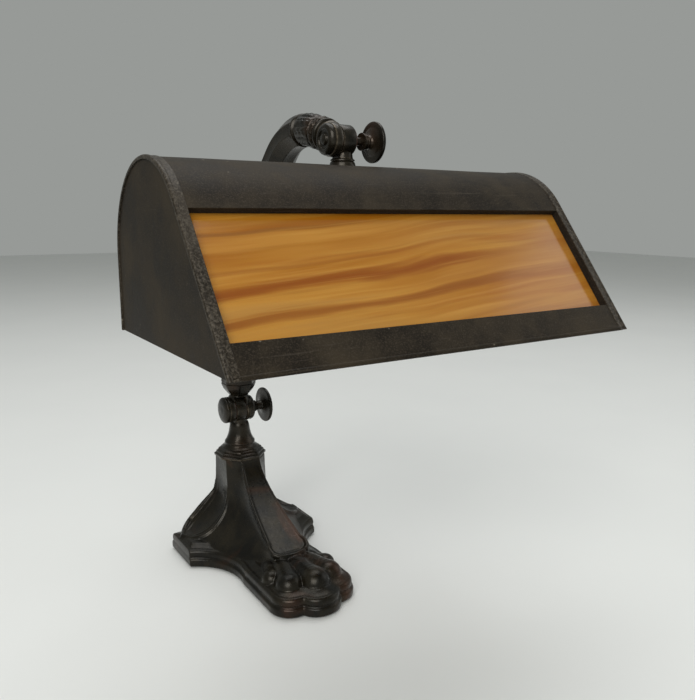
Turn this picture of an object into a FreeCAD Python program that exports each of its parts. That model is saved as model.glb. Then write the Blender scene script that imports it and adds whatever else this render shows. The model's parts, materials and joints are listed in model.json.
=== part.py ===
"""Banker desk lamp with a lion-paw base, a hinged curved arm and a trough shade with a glass window.

Frame: millimetres, +Z up. The origin is on the table, on the column's axis.
X runs along the shade and both hinges, and the lamp faces -Y.
"""
import FreeCAD
import Part
import math
import os

# ---- base -------------------------------------------------------------------------------------
FELT_THICK = 1.2            # felt pad, the surface the lamp rests on
FELT_INSET = 2.5
PLINTH_TOP = 14.4           # height of the feet and of the band round the paw
FOOT_REACH = 57.0           # flat end of each side foot
FOOT_FRONT_Y = -26.7
FOOT_BACK_Y = 14.7
HEEL_Y = 34.0               # flat end of the short rear heel
HEEL_HALF = 15.0
TOE_TIP_Y = -143.5
CUFF_Y = -87.0              # lip where the front of the column ends over the paw
CUFF_Z = 26.0
CUFF_LIP_RADIUS = 3.2
COLUMN_TOP = 77.0
COLUMN_HALF = 19.0          # half width across the column's flats at its top
FACET_HALF = 7.0            # half width of its front, back and side facets there
FLARE_STEPS = 10
CAVITY_TOP = 66.0
BUSHING_Z = 8.2
BUSHING_RADIUS = 5.0
BUSHING_BORE = 3.2
BUSHING_FLANGE = 6.4

# ---- hinges -----------------------------------------------------------------------------------
LOWER_Z = 116.5             # lower hinge axis, along X through the column's axis
UPPER_Y = -159.5            # upper hinge axis, along X
UPPER_Z = 319.5
TONGUE_X = -2.0             # middle of both tongues, of the stem and of its nipple
LOWER_TONGUE_HALF = 4.2
UPPER_TONGUE_HALF = 4.5
WASHER_GAP = 0.5            # room for one friction washer
WASHER_THICK = 0.44
LOWER_RADIUS = 10.75        # knuckle discs
UPPER_RADIUS = 9.0
UPPER_LEFT_RADIUS = 9.85
LOWER_LEFT_X = -12.2        # outer face of the left ear
LOWER_RIGHT_X = 10.7        # outer face of the right ear
UPPER_LEFT_X = -12.4
UPPER_RIGHT_X = 11.0
LOWER_SCREW_RADIUS = 3.0
UPPER_SCREW_RADIUS = 2.5
RUNNING_FIT = 0.05          # radial clearance of a screw or nipple in its hole
KNUCKLE_CLEARANCE = 0.5     # between a round knuckle and the shoulder facing it

# ---- arm --------------------------------------------------------------------------------------
LOW_ARC_Y = -270.0          # centre and radius of the arm's long lower arc
LOW_ARC_Z = 125.0
LOW_ARC_RADIUS = 270.0
ARC_CHANGE_DEG = 45.0       # where the lower arc hands over to the tight upper arc
TOP_ARC_RADIUS = 46.0
END_SLOPE_DEG = 13.0        # the arm's last, straight stretch falls this much towards the shade
ARM_WALL = 2.2
ARM_BOTTOM_HALF = 13.3      # half width across flats at the ferrule
ARM_TOP_HALF = 9.85         # and at the collar
FERRULE_TOP = 140.0
COLLAR_START = 20.2         # distances along the arm from the upper hinge axis
COLLAR_END = 52.0
COLLAR_BORE = 5.6
ARM_STATIONS = 22

# ---- shade ------------------------------------------------------------------------------------
SHADE_HALF = 127.0          # half length, over the edge beads
SHADE_BOTTOM = 212.0
SHADE_BACK_Y = -123.4
SHADE_RADIUS = 50.4         # rolled top
SHADE_CENTRE_Z = 254.0
FRONT_SLOPE_DEG = 52.13
SHEET = 0.9
BEAD_WIDTH = 2.5
BEAD_PROUD = 0.6
BEAD_DEPTH = 1.9
HEM_RADIUS = 1.1
END_SHEET = 0.8
WINDOW_LOW = 17.5           # distances up the front face from its bottom edge
WINDOW_HIGH = 86.5
WINDOW_HALF = 121.0
FRAME_WALL = 1.3
FRAME_DEPTH = 4.6
GLASS_GAP = 0.15
GLASS_THICK = 3.0
GLASS_LOW = 13.0
GLASS_HIGH = 90.0
GLASS_HALF = 123.4
CLIP_SPREAD = 82.0

# ---- lampholder and bulb ----------------------------------------------------------------------
NIPPLE_RADIUS = 4.75        # threaded tube of the neck and of the lampholder
NIPPLE_BORE = 3.0
STEM_NIPPLE_RADIUS = 3.3    # thinner tube that fits inside the upper tongue
STEM_NIPPLE_BORE = 2.0
SADDLE_BOTTOM = 296.0
STRAP_THICK = 1.6
STRAP_HALF = 8.0
LEAF_X = -106.0             # bracket leaf that carries the lampholder
SOCKET_Z = 256.0
CAP_RADIUS = 17.0
SHELL_RADIUS = 16.2
LINER_RADIUS = 15.5
BODY_RADIUS = 14.8
SCREW_SHELL_RADIUS = 13.8
BULB_BASE_RADIUS = 13.2
BULB_RADIUS = 15.9
BULB_END_X = 58.0
KEY_X = -82.0
KEY_SHAFT_RADIUS = 1.6

EXTRA = 1.0                 # how far a cutting tool runs past the face it cuts


def vec(x, y, z):
    """Return a FreeCAD vector."""
    return FreeCAD.Vector(x, y, z)


AXIS_X = vec(1, 0, 0)
AXIS_Y = vec(0, 1, 0)
AXIS_Z = vec(0, 0, 1)
SHADE_CENTRE_Y = SHADE_BACK_Y - SHADE_RADIUS
SLOPE = math.radians(FRONT_SLOPE_DEG)
UP_FRONT = vec(0, math.cos(SLOPE), math.sin(SLOPE))
INWARD = vec(0, math.sin(SLOPE), -math.cos(SLOPE))
END_SLOPE = math.radians(END_SLOPE_DEG)
ARM_OUT = vec(0, math.cos(END_SLOPE), math.sin(END_SLOPE))   # from the upper hinge along the arm
UPPER_PIVOT = vec(0, UPPER_Y, UPPER_Z)
LOWER_PIVOT = vec(0, 0, LOWER_Z)


# ---- helpers ----------------------------------------------------------------------------------
def rod(start, direction, length, radius):
    """Return a cylinder."""
    return Part.makeCylinder(radius, length, start, direction)


def disc_x(pivot, low_x, high_x, radius):
    """Return a cylinder along X round a hinge axis."""
    return rod(vec(low_x, pivot.y, pivot.z), AXIS_X, high_x - low_x, radius)


def block(low, high):
    """Return a box between two corners."""
    size = high - low
    return Part.makeBox(size.x, size.y, size.z, low)


def turned(profile, base, direction):
    """Return a solid of revolution from (distance, radius) points along an axis."""
    side = AXIS_Z if abs(direction.z) < 0.5 else AXIS_X
    side = side - direction * side.dot(direction)
    side.normalize()
    points = [base + direction * along + side * radius for along, radius in profile]
    points.append(points[0])
    face = Part.Face(Part.makePolygon(points))
    return Part.makeSolid(face.revolve(base, direction, 360).Shells[0])


def tube(start, direction, length, outer, inner):
    """Return a round tube."""
    solid = rod(start, direction, length, outer)
    return solid.cut(rod(start - direction * EXTRA, direction, length + 2 * EXTRA, inner))


def hexagon_nut(start, direction, side, length, flats, hole):
    """Return a hexagon nut with a plain hole."""
    other = direction.cross(side)
    radius = flats / math.sqrt(3)
    corners = []
    for step in range(7):
        angle = math.radians(60 * step)
        corners.append(start + side * (radius * math.cos(angle)) + other * (radius * math.sin(angle)))
    nut = Part.Face(Part.makePolygon(corners)).extrude(direction * length)
    return nut.cut(rod(start - direction * EXTRA, direction, length + 2 * EXTRA, hole))


def octagon(centre, side, other, half):
    """Return a regular octagonal wire with flats facing the two directions."""
    radius = half / math.cos(math.pi / 8)
    corners = []
    for step in range(9):
        angle = math.pi / 8 + step * math.pi / 4
        corners.append(centre + side * (radius * math.cos(angle)) + other * (radius * math.sin(angle)))
    return Part.makePolygon(corners)


def octagon_stack(steps, centre_x=0.0, centre_y=0.0):
    """Return an upright solid through octagons given as (z, half width)."""
    wires = [octagon(vec(centre_x, centre_y, z), AXIS_X, AXIS_Y, half) for z, half in steps]
    return Part.makeLoft(wires, True, True)


def fused(shapes):
    """Return one clean solid from overlapping shapes."""
    return shapes[0].multiFuse(shapes[1:]).removeSplitter()


# ---- base casting -----------------------------------------------------------------------------
def arc(start, middle, end, z):
    """Return an arc edge through three plan points."""
    return Part.Arc(vec(*start, z), vec(*middle, z), vec(*end, z)).toShape()


def line(start, end, z):
    """Return a straight edge between two plan points."""
    return Part.makeLine(vec(*start, z), vec(*end, z))


def plinth_face(z):
    """Return the base's plan: toes in front, flat side feet, a short heel behind."""
    cleft = (16.5, -134.8)
    toe_side = (33.8, -117.0)
    waist = (33.2, -74.0)
    foot_front = (FOOT_REACH, FOOT_FRONT_Y)
    foot_back = (FOOT_REACH, FOOT_BACK_Y)
    heel = (HEEL_HALF, HEEL_Y)

    def mirror(point):
        return (-point[0], point[1])

    edges = [arc(mirror(cleft), (0, TOE_TIP_Y), cleft, z)]
    for flip in (False, True):
        place = mirror if flip else (lambda point: point)
        edges.append(arc(place(cleft), place((28.0, -130.5)), place(toe_side), z))
        edges.append(line(place(toe_side), place(waist), z))
        edges.append(arc(place(waist), place((39.0, -43.0)), place(foot_front), z))
        edges.append(line(place(foot_front), place(foot_back), z))
        edges.append(arc(place(foot_back), place((34.0, 19.5)), place(heel), z))
    edges.append(line(heel, mirror(heel), z))
    return Part.Face(Part.Wire(Part.__sortEdges__(edges)))


def bell_wire(z, half, side_reach, front_reach, back_reach, valley):
    """Return one section of the flared octagonal column."""
    down = min(1.0, 1 - (z - PLINTH_TOP) / (COLUMN_TOP - PLINTH_TOP))
    fall = down ** 3
    side_fall = down ** 5
    front_fall = min(1.0, 1 - (z - CUFF_Z) / (COLUMN_TOP - CUFF_Z)) ** 1.6
    side = half + side_reach * side_fall
    front = half + front_reach * front_fall
    back = half + back_reach * fall
    facet = FACET_HALF * half / COLUMN_HALF
    side_facet = facet + 10.0 * fall
    front_facet = facet + 7.0 * front_fall
    back_facet = facet + 6.0 * fall
    shift = -6.0 * fall
    right = [(back_facet, back), None, (side, shift + side_facet), (side, shift - side_facet), None,
             (front_facet, -front)]
    for index in (1, 4):
        before = right[index - 1]
        after = right[index + 1]
        middle = ((before[0] + after[0]) / 2, (before[1] + after[1]) / 2)
        scale = 1 - valley * fall / math.hypot(*middle)
        right[index] = (middle[0] * scale, middle[1] * scale)
    left = [(-x, y) for x, y in reversed(right)]
    points = [vec(x, y, z) for x, y in right + left]
    points.append(points[0])
    return Part.makePolygon(points)


def bell(low, high, half, reaches, valley):
    """Return the flared column between two heights."""
    wires = []
    for step in range(FLARE_STEPS + 1):
        z = low + (high - low) * (step / FLARE_STEPS) ** 1.4
        wires.append(bell_wire(z, half, *reaches, valley))
    return Part.makeLoft(wires, True, True)


def toes():
    """Return the five toes, each a ball with a round knuckle running back to the cuff."""
    solids = []
    for x, y, radius in ((0, -121.5, 13.0), (19.0, -114.0, 11.5), (-19.0, -114.0, 11.5),
                         (26.0, -101.0, 7.0), (-26.0, -101.0, 7.0)):
        ball = vec(x, y, PLINTH_TOP)
        root = vec(x * 0.45, CUFF_Y, PLINTH_TOP + 2.0)
        solids.append(Part.makeSphere(radius, ball))
        solids.append(Part.makeCone(radius, radius * 0.9, (root - ball).Length, ball, root - ball))
    return solids


def base_casting():
    """Return the hollow casting: plinth, feet, bell column, cuff and paw."""
    plinth = plinth_face(FELT_THICK).extrude(AXIS_Z * (PLINTH_TOP - FELT_THICK))
    outside = bell(PLINTH_TOP - 2.0, COLUMN_TOP, COLUMN_HALF, (33.0, 68.0, 13.0), 9.0)
    lip_half = FACET_HALF + 6.5
    lip = rod(vec(-lip_half, CUFF_Y, CUFF_Z), AXIS_X, 2 * lip_half, CUFF_LIP_RADIUS)
    solid = fused([plinth, outside, lip] + toes())
    below = block(vec(-100, -200, -50), vec(100, 100, FELT_THICK))
    solid = solid.cut(below)
    cavity = bell(FELT_THICK - EXTRA, CAVITY_TOP, COLUMN_HALF - 5.0, (26.0, 34.0, 10.0), 6.0)
    bore = rod(vec(0, 0, CAVITY_TOP - EXTRA), AXIS_Z, COLUMN_TOP - CAVITY_TOP + 2 * EXTRA,
               NIPPLE_RADIUS + RUNNING_FIT)
    inlet = rod(vec(0, 10, BUSHING_Z), AXIS_Y, HEEL_Y - 10 + EXTRA, BUSHING_RADIUS)
    return solid.cut(cavity).cut(bore).cut(inlet)


def felt_pad():
    """Return the felt pad, a little smaller than the plinth."""
    face = plinth_face(0.0).makeOffset2D(-FELT_INSET)
    return face.extrude(AXIS_Z * FELT_THICK)


def cord_bushing():
    """Return the flanged insulating bushing in the heel, where a cord enters."""
    body = tube(vec(0, HEEL_Y - 8.0, BUSHING_Z), AXIS_Y, 8.0, BUSHING_RADIUS, BUSHING_BORE)
    flange = tube(vec(0, HEEL_Y, BUSHING_Z), AXIS_Y, 1.6, BUSHING_FLANGE, BUSHING_BORE)
    return fused([body, flange])


# ---- column neck ------------------------------------------------------------------------------
def column_neck():
    """Return the moulded octagonal collar, the ogee above it and the lower hinge's tongue."""
    collar = octagon_stack([(COLUMN_TOP, 20.2), (COLUMN_TOP + 1.0, 20.9), (COLUMN_TOP + 2.4, 20.9),
                            (COLUMN_TOP + 2.6, 19.9), (COLUMN_TOP + 4.4, 19.6),
                            (COLUMN_TOP + 4.6, 18.4), (COLUMN_TOP + 7.0, 17.4)])
    shoulder = LOWER_Z - LOWER_RADIUS - KNUCKLE_CLEARANCE
    ogee = turned([(0, 0), (0, 16.8), (2.0, 14.6), (4.5, 12.0), (8.0, 10.0), (12.0, 9.0), (17.0, 8.7),
                   (shoulder - COLUMN_TOP - 7.0, 8.2), (shoulder - COLUMN_TOP - 7.0, 0)],
                  vec(0, 0, COLUMN_TOP + 7.0), AXIS_Z)
    low_x = TONGUE_X - LOWER_TONGUE_HALF
    high_x = TONGUE_X + LOWER_TONGUE_HALF
    web = block(vec(low_x, -7.0, shoulder - 4.0), vec(high_x, 7.0, LOWER_Z))
    tongue = disc_x(LOWER_PIVOT, low_x, high_x, LOWER_RADIUS)
    solid = fused([collar, ogee, web, tongue])
    socket = rod(vec(0, 0, COLUMN_TOP - EXTRA), AXIS_Z, 14.0 + EXTRA, NIPPLE_RADIUS + RUNNING_FIT)
    hole = disc_x(LOWER_PIVOT, low_x - EXTRA, high_x + EXTRA, LOWER_SCREW_RADIUS + RUNNING_FIT)
    return solid.cut(socket).cut(hole)


def column_nipple():
    """Return the threaded tube that holds the neck on the column."""
    return tube(vec(0, 0, 58.0), AXIS_Z, 32.0, NIPPLE_RADIUS, NIPPLE_BORE)


def column_washer():
    """Return the washer under the column's top wall."""
    return tube(vec(0, 0, CAVITY_TOP - 1.6), AXIS_Z, 1.6, 9.0, NIPPLE_RADIUS + RUNNING_FIT)


def column_locknut():
    """Return the locknut on the nipple."""
    return hexagon_nut(vec(0, 0, CAVITY_TOP - 5.6), AXIS_Z, AXIS_X, 4.0, 14.0,
                       NIPPLE_RADIUS + RUNNING_FIT)


# ---- hinges -----------------------------------------------------------------------------------
def fork_ears(pivot, away, left_x, right_x, tongue_half, radii, reach, screw_radius):
    """Return the two ears of a fork, with their shanks running along the direction away."""
    across = AXIS_X.cross(away)
    solids = []
    spans = ((left_x, TONGUE_X - tongue_half - WASHER_GAP, radii[0]),
             (TONGUE_X + tongue_half + WASHER_GAP, right_x, radii[1]))
    for low_x, high_x, radius in spans:
        start = vec(low_x, pivot.y, pivot.z)
        half = radius * 0.7
        corners = [start + across * half, start - across * half,
                   start - across * half + away * reach, start + across * half + away * reach]
        corners.append(corners[0])
        shank = Part.Face(Part.makePolygon(corners)).extrude(AXIS_X * (high_x - low_x))
        solids.append(fused([disc_x(pivot, low_x, high_x, radius), shank]))
    hole = disc_x(pivot, left_x - EXTRA, right_x + EXTRA, screw_radius + RUNNING_FIT)
    return [solid.cut(hole) for solid in solids]


def lower_fork():
    """Return the facetted ferrule under the arm with the lower hinge's two ears."""
    shoulder = LOWER_Z + LOWER_RADIUS + KNUCKLE_CLEARANCE
    ferrule = octagon_stack([(shoulder, 9.0), (shoulder + 2.0, 9.6), (shoulder + 7.0, 12.4),
                             (FERRULE_TOP, ARM_BOTTOM_HALF)])
    ears = fork_ears(LOWER_PIVOT, AXIS_Z, LOWER_LEFT_X, LOWER_RIGHT_X, LOWER_TONGUE_HALF,
                     (LOWER_RADIUS, LOWER_RADIUS), LOWER_RADIUS + KNUCKLE_CLEARANCE + 2.5,
                     LOWER_SCREW_RADIUS)
    solid = fused([ferrule] + ears)
    return solid.cut(rod(vec(0, 0, shoulder - EXTRA), AXIS_Z, FERRULE_TOP - shoulder + 2 * EXTRA,
                         NIPPLE_BORE))


def upper_fork():
    """Return the fork at the end of the arm."""
    shoulder = UPPER_RADIUS + KNUCKLE_CLEARANCE
    block_start = UPPER_PIVOT + ARM_OUT * shoulder
    root = turned([(0, 0), (0, 7.4), (3.0, 8.2), (COLLAR_START - shoulder, 8.8),
                   (COLLAR_START - shoulder, 0)], block_start, ARM_OUT)
    ears = fork_ears(UPPER_PIVOT, ARM_OUT, UPPER_LEFT_X, UPPER_RIGHT_X, UPPER_TONGUE_HALF,
                     (UPPER_LEFT_RADIUS, UPPER_RADIUS), shoulder + 2.5, UPPER_SCREW_RADIUS)
    solid = fused([root] + ears)
    bore = rod(UPPER_PIVOT + ARM_OUT * (shoulder - EXTRA), ARM_OUT, 20.0, COLLAR_BORE)
    return solid.cut(bore)


def cap_nut(pivot, face_x, radius, screw_radius):
    """Return the round dished nut that takes a thumbscrew's end."""
    base = vec(face_x, pivot.y, pivot.z)
    hole = screw_radius + RUNNING_FIT
    return turned([(0, hole), (0, radius), (1.2, radius), (3.0, radius * 0.82), (3.4, radius * 0.66),
                   (2.6, radius * 0.56), (2.6, radius * 0.34), (4.1, 0), (2.0, 0), (2.0, hole)],
                  base, AXIS_X * -1)


def thumbscrew(pivot, start_x, end_x, radius, neck, flange, disc_x_middle, disc_radius):
    """Return a thumbscrew: plain shaft, ringed neck, trumpet and thin disc."""
    base = vec(end_x, pivot.y, pivot.z)
    head = start_x - end_x
    middle = disc_x_middle - end_x
    bead = neck + 0.5
    span = (middle - 1.4 - head) / 4
    profile = [(0, 0), (0, radius), (head, radius), (head, flange), (head + 0.8, flange)]
    for ring in range(2):
        low = head + 0.8 + ring * span
        profile += [(low + 0.2, neck - 0.7), (low + 0.45 * span, bead), (low + 0.75 * span, bead)]
    profile += [(head + 0.8 + 2 * span, neck - 0.7), (middle - 3.0, neck), (middle - 1.6, neck + 2.4),
                (middle - 1.1, disc_radius - 1.5), (middle - 1.1, disc_radius - 0.3),
                (middle - 0.5, disc_radius), (middle + 0.7, disc_radius),
                (middle + 1.3, disc_radius - 0.6), (middle + 0.7, disc_radius - 2.2),
                (middle + 0.2, 3.4), (middle + 1.1, 2.0), (middle + 1.5, 0)]
    return turned(profile, base, AXIS_X)


def friction_washers(pivot, tongue_half, radius, hole):
    """Return the two fibre washers beside a tongue."""
    solids = []
    for side in (-1, 1):
        middle = TONGUE_X + side * (tongue_half + WASHER_GAP / 2)
        start = vec(middle - WASHER_THICK / 2, pivot.y, pivot.z)
        solids.append(tube(start, AXIS_X, WASHER_THICK, radius, hole))
    return Part.makeCompound(solids)


# ---- arm --------------------------------------------------------------------------------------
def arm_station(distance):
    """Return the arm's centre and its direction, at a distance from the upper hinge axis."""
    change = math.radians(ARC_CHANGE_DEG)
    hand_over = vec(0, LOW_ARC_Y + LOW_ARC_RADIUS * math.cos(change),
                    LOW_ARC_Z + LOW_ARC_RADIUS * math.sin(change))
    centre = hand_over - vec(0, math.cos(change), math.sin(change)) * TOP_ARC_RADIUS
    top_end = math.pi / 2 + END_SLOPE
    straight = (UPPER_PIVOT - centre - vec(0, math.cos(top_end), math.sin(top_end)) * TOP_ARC_RADIUS).Length
    top_length = TOP_ARC_RADIUS * (top_end - change)
    if distance <= straight:
        return UPPER_PIVOT + ARM_OUT * distance, ARM_OUT
    if distance <= straight + top_length:
        angle = top_end - (distance - straight) / TOP_ARC_RADIUS
        radius = TOP_ARC_RADIUS
    else:
        centre = vec(0, LOW_ARC_Y, LOW_ARC_Z)
        angle = change - (distance - straight - top_length) / LOW_ARC_RADIUS
        radius = LOW_ARC_RADIUS
    outward = vec(0, math.cos(angle), math.sin(angle))
    return centre + outward * radius, vec(0, math.sin(angle), -math.cos(angle))


def arm_length():
    """Return the distance at which the arm meets the ferrule."""
    distance = COLLAR_END
    while arm_station(distance)[0].z > FERRULE_TOP:
        distance += 0.1
    return distance


def arm_tube():
    """Return the curved, tapering, hollow octagonal arm."""
    length = arm_length()
    skins = []
    for inset in (0.0, ARM_WALL):
        wires = []
        for step in range(ARM_STATIONS + 1):
            share = step / ARM_STATIONS
            centre, direction = arm_station(COLLAR_END + (length - COLLAR_END) * share)
            half = ARM_TOP_HALF + (ARM_BOTTOM_HALF - ARM_TOP_HALF) * share - inset
            wires.append(octagon(centre, AXIS_X, direction.cross(AXIS_X), half))
        skins.append(Part.makeLoft(wires, True, True))
    solid = skins[0].cut(skins[1])
    above = block(vec(-50, -250, FERRULE_TOP), vec(50, 50, UPPER_Z + 50))
    return solid.common(above)


def arm_collar():
    """Return the ringed ornament between the arm and the upper fork."""
    rings = ((0.0, 8.8), (1.2, 9.9), (3.0, 10.0), (4.0, 9.1), (5.5, 10.4), (8.5, 10.7), (10.0, 9.8),
             (12.0, 10.9), (22.0, 11.0), (27.0, 10.7), (29.0, 10.0), (COLLAR_END - COLLAR_START, 10.4))
    circles = []
    bores = []
    for offset, radius in rings:
        centre, direction = arm_station(COLLAR_START + offset)
        circles.append(Part.Wire(Part.makeCircle(radius, centre, direction)))
        bores.append(Part.Wire(Part.makeCircle(COLLAR_BORE, centre, direction)))
    return Part.makeLoft(circles, True, True).cut(Part.makeLoft(bores, True, True))


def collar_nipple():
    """Return the threaded tube that holds the fork on the arm."""
    return tube(UPPER_PIVOT + ARM_OUT * 12.0, ARM_OUT, 24.0, COLLAR_BORE - RUNNING_FIT, NIPPLE_BORE)


# ---- shade ------------------------------------------------------------------------------------
def shade_face(inset, drop, x):
    """Return the shade's cross-section moved inwards, and lowered at its open bottom."""
    centre = vec(x, SHADE_CENTRE_Y, SHADE_CENTRE_Z)
    radius = SHADE_RADIUS - inset
    bottom = SHADE_BOTTOM - drop
    back_low = vec(x, SHADE_CENTRE_Y + radius, bottom)
    back_high = centre + AXIS_Y * radius
    front_high = centre - INWARD * radius
    run = (front_high.z - bottom) / UP_FRONT.z
    front_low = front_high - UP_FRONT * run
    half_way = (math.pi / 2 + SLOPE) / 2
    crown = centre + vec(0, math.cos(half_way), math.sin(half_way)) * radius
    edges = [Part.makeLine(back_low, back_high), Part.Arc(back_high, crown, front_high).toShape(),
             Part.makeLine(front_high, front_low), Part.makeLine(front_low, back_low)]
    return Part.Face(Part.Wire(edges))


def shade_block(inset, drop, low_x, high_x):
    """Return the solid trough between two planes."""
    return shade_face(inset, drop, low_x).extrude(AXIS_X * (high_x - low_x))


def front_point(x, rise, depth):
    """Return a point on the front face: along it, up it and behind it."""
    corner = shade_face(0.0, 0.0, 0.0).BoundBox
    return vec(x, corner.YMin, SHADE_BOTTOM) + UP_FRONT * rise + INWARD * depth


def front_slab(half_x, low, high, near, far, middle_x=0.0):
    """Return a box lying in the plane of the front face."""
    start = front_point(middle_x - half_x, low, near)
    corners = [start, start + UP_FRONT * (high - low), start + UP_FRONT * (high - low) + INWARD * (far - near),
               start + INWARD * (far - near)]
    corners.append(corners[0])
    return Part.Face(Part.makePolygon(corners)).extrude(AXIS_X * (2 * half_x))


def shade_shell():
    """Return the folded sheet: back, rolled top and front with its window, and a rolled hem."""
    half = SHADE_HALF - BEAD_WIDTH
    sheet = shade_block(0.0, 0.0, -half, half).cut(shade_block(SHEET, EXTRA, -half - EXTRA, half + EXTRA))
    window = front_slab(WINDOW_HALF, WINDOW_LOW, WINDOW_HIGH, -EXTRA, SHEET + EXTRA)
    front_hem_start = front_point(-half, HEM_RADIUS / UP_FRONT.z + 0.4, HEM_RADIUS)
    front_hem = rod(front_hem_start, AXIS_X, 2 * half, HEM_RADIUS)
    back_hem = rod(vec(-half, SHADE_BACK_Y - HEM_RADIUS, SHADE_BOTTOM + HEM_RADIUS), AXIS_X, 2 * half,
                   HEM_RADIUS)
    hole = rod(vec(TONGUE_X, UPPER_Y, SHADE_BOTTOM + 60), AXIS_Z, 50, STEM_NIPPLE_RADIUS + RUNNING_FIT)
    return fused([sheet.cut(window), front_hem, back_hem]).cut(hole)


def edge_bead(side):
    """Return the raised bead along one end of the shell."""
    low_x = SHADE_HALF - BEAD_WIDTH if side > 0 else -SHADE_HALF
    outer = shade_block(-BEAD_PROUD, 0.0, low_x, low_x + BEAD_WIDTH)
    inner = shade_block(BEAD_DEPTH, EXTRA, low_x - EXTRA, low_x + BEAD_WIDTH + EXTRA)
    return outer.cut(inner)


def end_plate(side):
    """Return one flat end of the shade, set into its bead."""
    low_x = side * (SHADE_HALF - BEAD_WIDTH / 2) - END_SHEET / 2
    return shade_block(BEAD_DEPTH, 0.0, low_x, low_x + END_SHEET)


def window_frame():
    """Return the folded frame behind the window, which the glass rests against."""
    outer = front_slab(WINDOW_HALF + FRAME_WALL, WINDOW_LOW - FRAME_WALL, WINDOW_HIGH + FRAME_WALL,
                       SHEET, FRAME_DEPTH)
    return outer.cut(front_slab(WINDOW_HALF, WINDOW_LOW, WINDOW_HIGH, 0.0, FRAME_DEPTH + EXTRA))


def glass_panel():
    """Return the flat pane."""
    near = FRAME_DEPTH + GLASS_GAP
    return front_slab(GLASS_HALF, GLASS_LOW, GLASS_HIGH, near, near + GLASS_THICK)


def glass_clips():
    """Return the bent clips that hold the pane from behind, three along each long edge."""
    finger = FRAME_DEPTH + GLASS_GAP + GLASS_THICK + 0.05
    clips = []
    for x in (-CLIP_SPREAD, 0.0, CLIP_SPREAD):
        for edge, outside in ((GLASS_LOW - 1.0, -1), (GLASS_HIGH + 0.3, 1)):
            leg = front_slab(5.0, edge, edge + 0.7, SHEET, finger + 0.7, x)
            if outside < 0:
                tip = front_slab(5.0, edge, edge + 9.0, finger, finger + 0.7, x)
            else:
                tip = front_slab(5.0, edge - 8.3, edge + 0.7, finger, finger + 0.7, x)
            clips.append(fused([leg, tip]))
    return Part.makeCompound(clips)


def shade_stem():
    """Return the upper hinge's tongue with the top of the facetted stem."""
    low_x = TONGUE_X - UPPER_TONGUE_HALF
    high_x = TONGUE_X + UPPER_TONGUE_HALF
    shoulder = UPPER_Z - UPPER_LEFT_RADIUS - KNUCKLE_CLEARANCE
    web = block(vec(low_x, UPPER_Y - 5.6, shoulder - 0.5), vec(high_x, UPPER_Y + 5.6, UPPER_Z))
    tongue = disc_x(UPPER_PIVOT, low_x, high_x, UPPER_RADIUS)
    foot = octagon_stack([(SHADE_BOTTOM + 95.5, 6.6), (shoulder - 0.6, 6.2), (shoulder, 5.6)], TONGUE_X, UPPER_Y)
    solid = fused([foot, web, tongue])
    socket = rod(vec(TONGUE_X, UPPER_Y, 300.0), AXIS_Z, 13.0, STEM_NIPPLE_RADIUS + RUNNING_FIT)
    hole = disc_x(UPPER_PIVOT, low_x - EXTRA, high_x + EXTRA, UPPER_SCREW_RADIUS + RUNNING_FIT)
    return solid.cut(socket).cut(hole)


def stem_seat():
    """Return the flared foot of the stem, shaped to the top of the shade."""
    seat = octagon_stack([(SHADE_BOTTOM + 87.0, 8.2), (SHADE_BOTTOM + 92.0, 7.8), (SHADE_BOTTOM + 95.5, 6.9)],
                         TONGUE_X, UPPER_Y)
    seat = seat.cut(shade_block(0.0, 0.0, -40, 40))
    return seat.cut(rod(vec(TONGUE_X, UPPER_Y, 290.0), AXIS_Z, 30.0, STEM_NIPPLE_RADIUS + RUNNING_FIT))


def shade_nipple():
    """Return the threaded tube through the top of the shade."""
    start = vec(TONGUE_X, UPPER_Y, SADDLE_BOTTOM - 7.5)
    return tube(start, AXIS_Z, 24.0, STEM_NIPPLE_RADIUS, STEM_NIPPLE_BORE)


def inner_saddle():
    """Return the saddle washer inside the shade, shaped to its rolled top."""
    blank = rod(vec(TONGUE_X, UPPER_Y, SADDLE_BOTTOM), AXIS_Z, 12.0, 9.0)
    saddle = blank.common(shade_block(SHEET, 0.0, -40, 40))
    return saddle.cut(rod(vec(TONGUE_X, UPPER_Y, 290.0), AXIS_Z, 30.0, STEM_NIPPLE_RADIUS + RUNNING_FIT))


def shade_locknut():
    """Return the locknut under the bracket."""
    start = vec(TONGUE_X, UPPER_Y, SADDLE_BOTTOM - STRAP_THICK - 4.0)
    return hexagon_nut(start, AXIS_Z, AXIS_X, 4.0, 11.0, STEM_NIPPLE_RADIUS + RUNNING_FIT)


# ---- lampholder -------------------------------------------------------------------------------
SOCKET_AXIS = vec(0, UPPER_Y, SOCKET_Z)


def socket_bracket():
    """Return the bent strap that carries the lampholder under the top of the shade."""
    top = SADDLE_BOTTOM
    strap = block(vec(LEAF_X - STRAP_THICK, UPPER_Y - STRAP_HALF, top - STRAP_THICK),
                  vec(TONGUE_X + 11.0, UPPER_Y + STRAP_HALF, top))
    leaf = block(vec(LEAF_X - STRAP_THICK, UPPER_Y - STRAP_HALF, SOCKET_Z - 10.0),
                 vec(LEAF_X, UPPER_Y + STRAP_HALF, top))
    solid = fused([strap, leaf])
    solid = solid.cut(rod(vec(TONGUE_X, UPPER_Y, top - 5), AXIS_Z, 10, STEM_NIPPLE_RADIUS + RUNNING_FIT))
    return solid.cut(disc_x(SOCKET_AXIS, LEAF_X - 5, LEAF_X + 5, NIPPLE_RADIUS + RUNNING_FIT))


def socket_nipple():
    """Return the short threaded tube that holds the cap on the bracket."""
    return tube(vec(LEAF_X - 6.0, UPPER_Y, SOCKET_Z), AXIS_X, 13.0, NIPPLE_RADIUS, NIPPLE_BORE)


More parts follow.
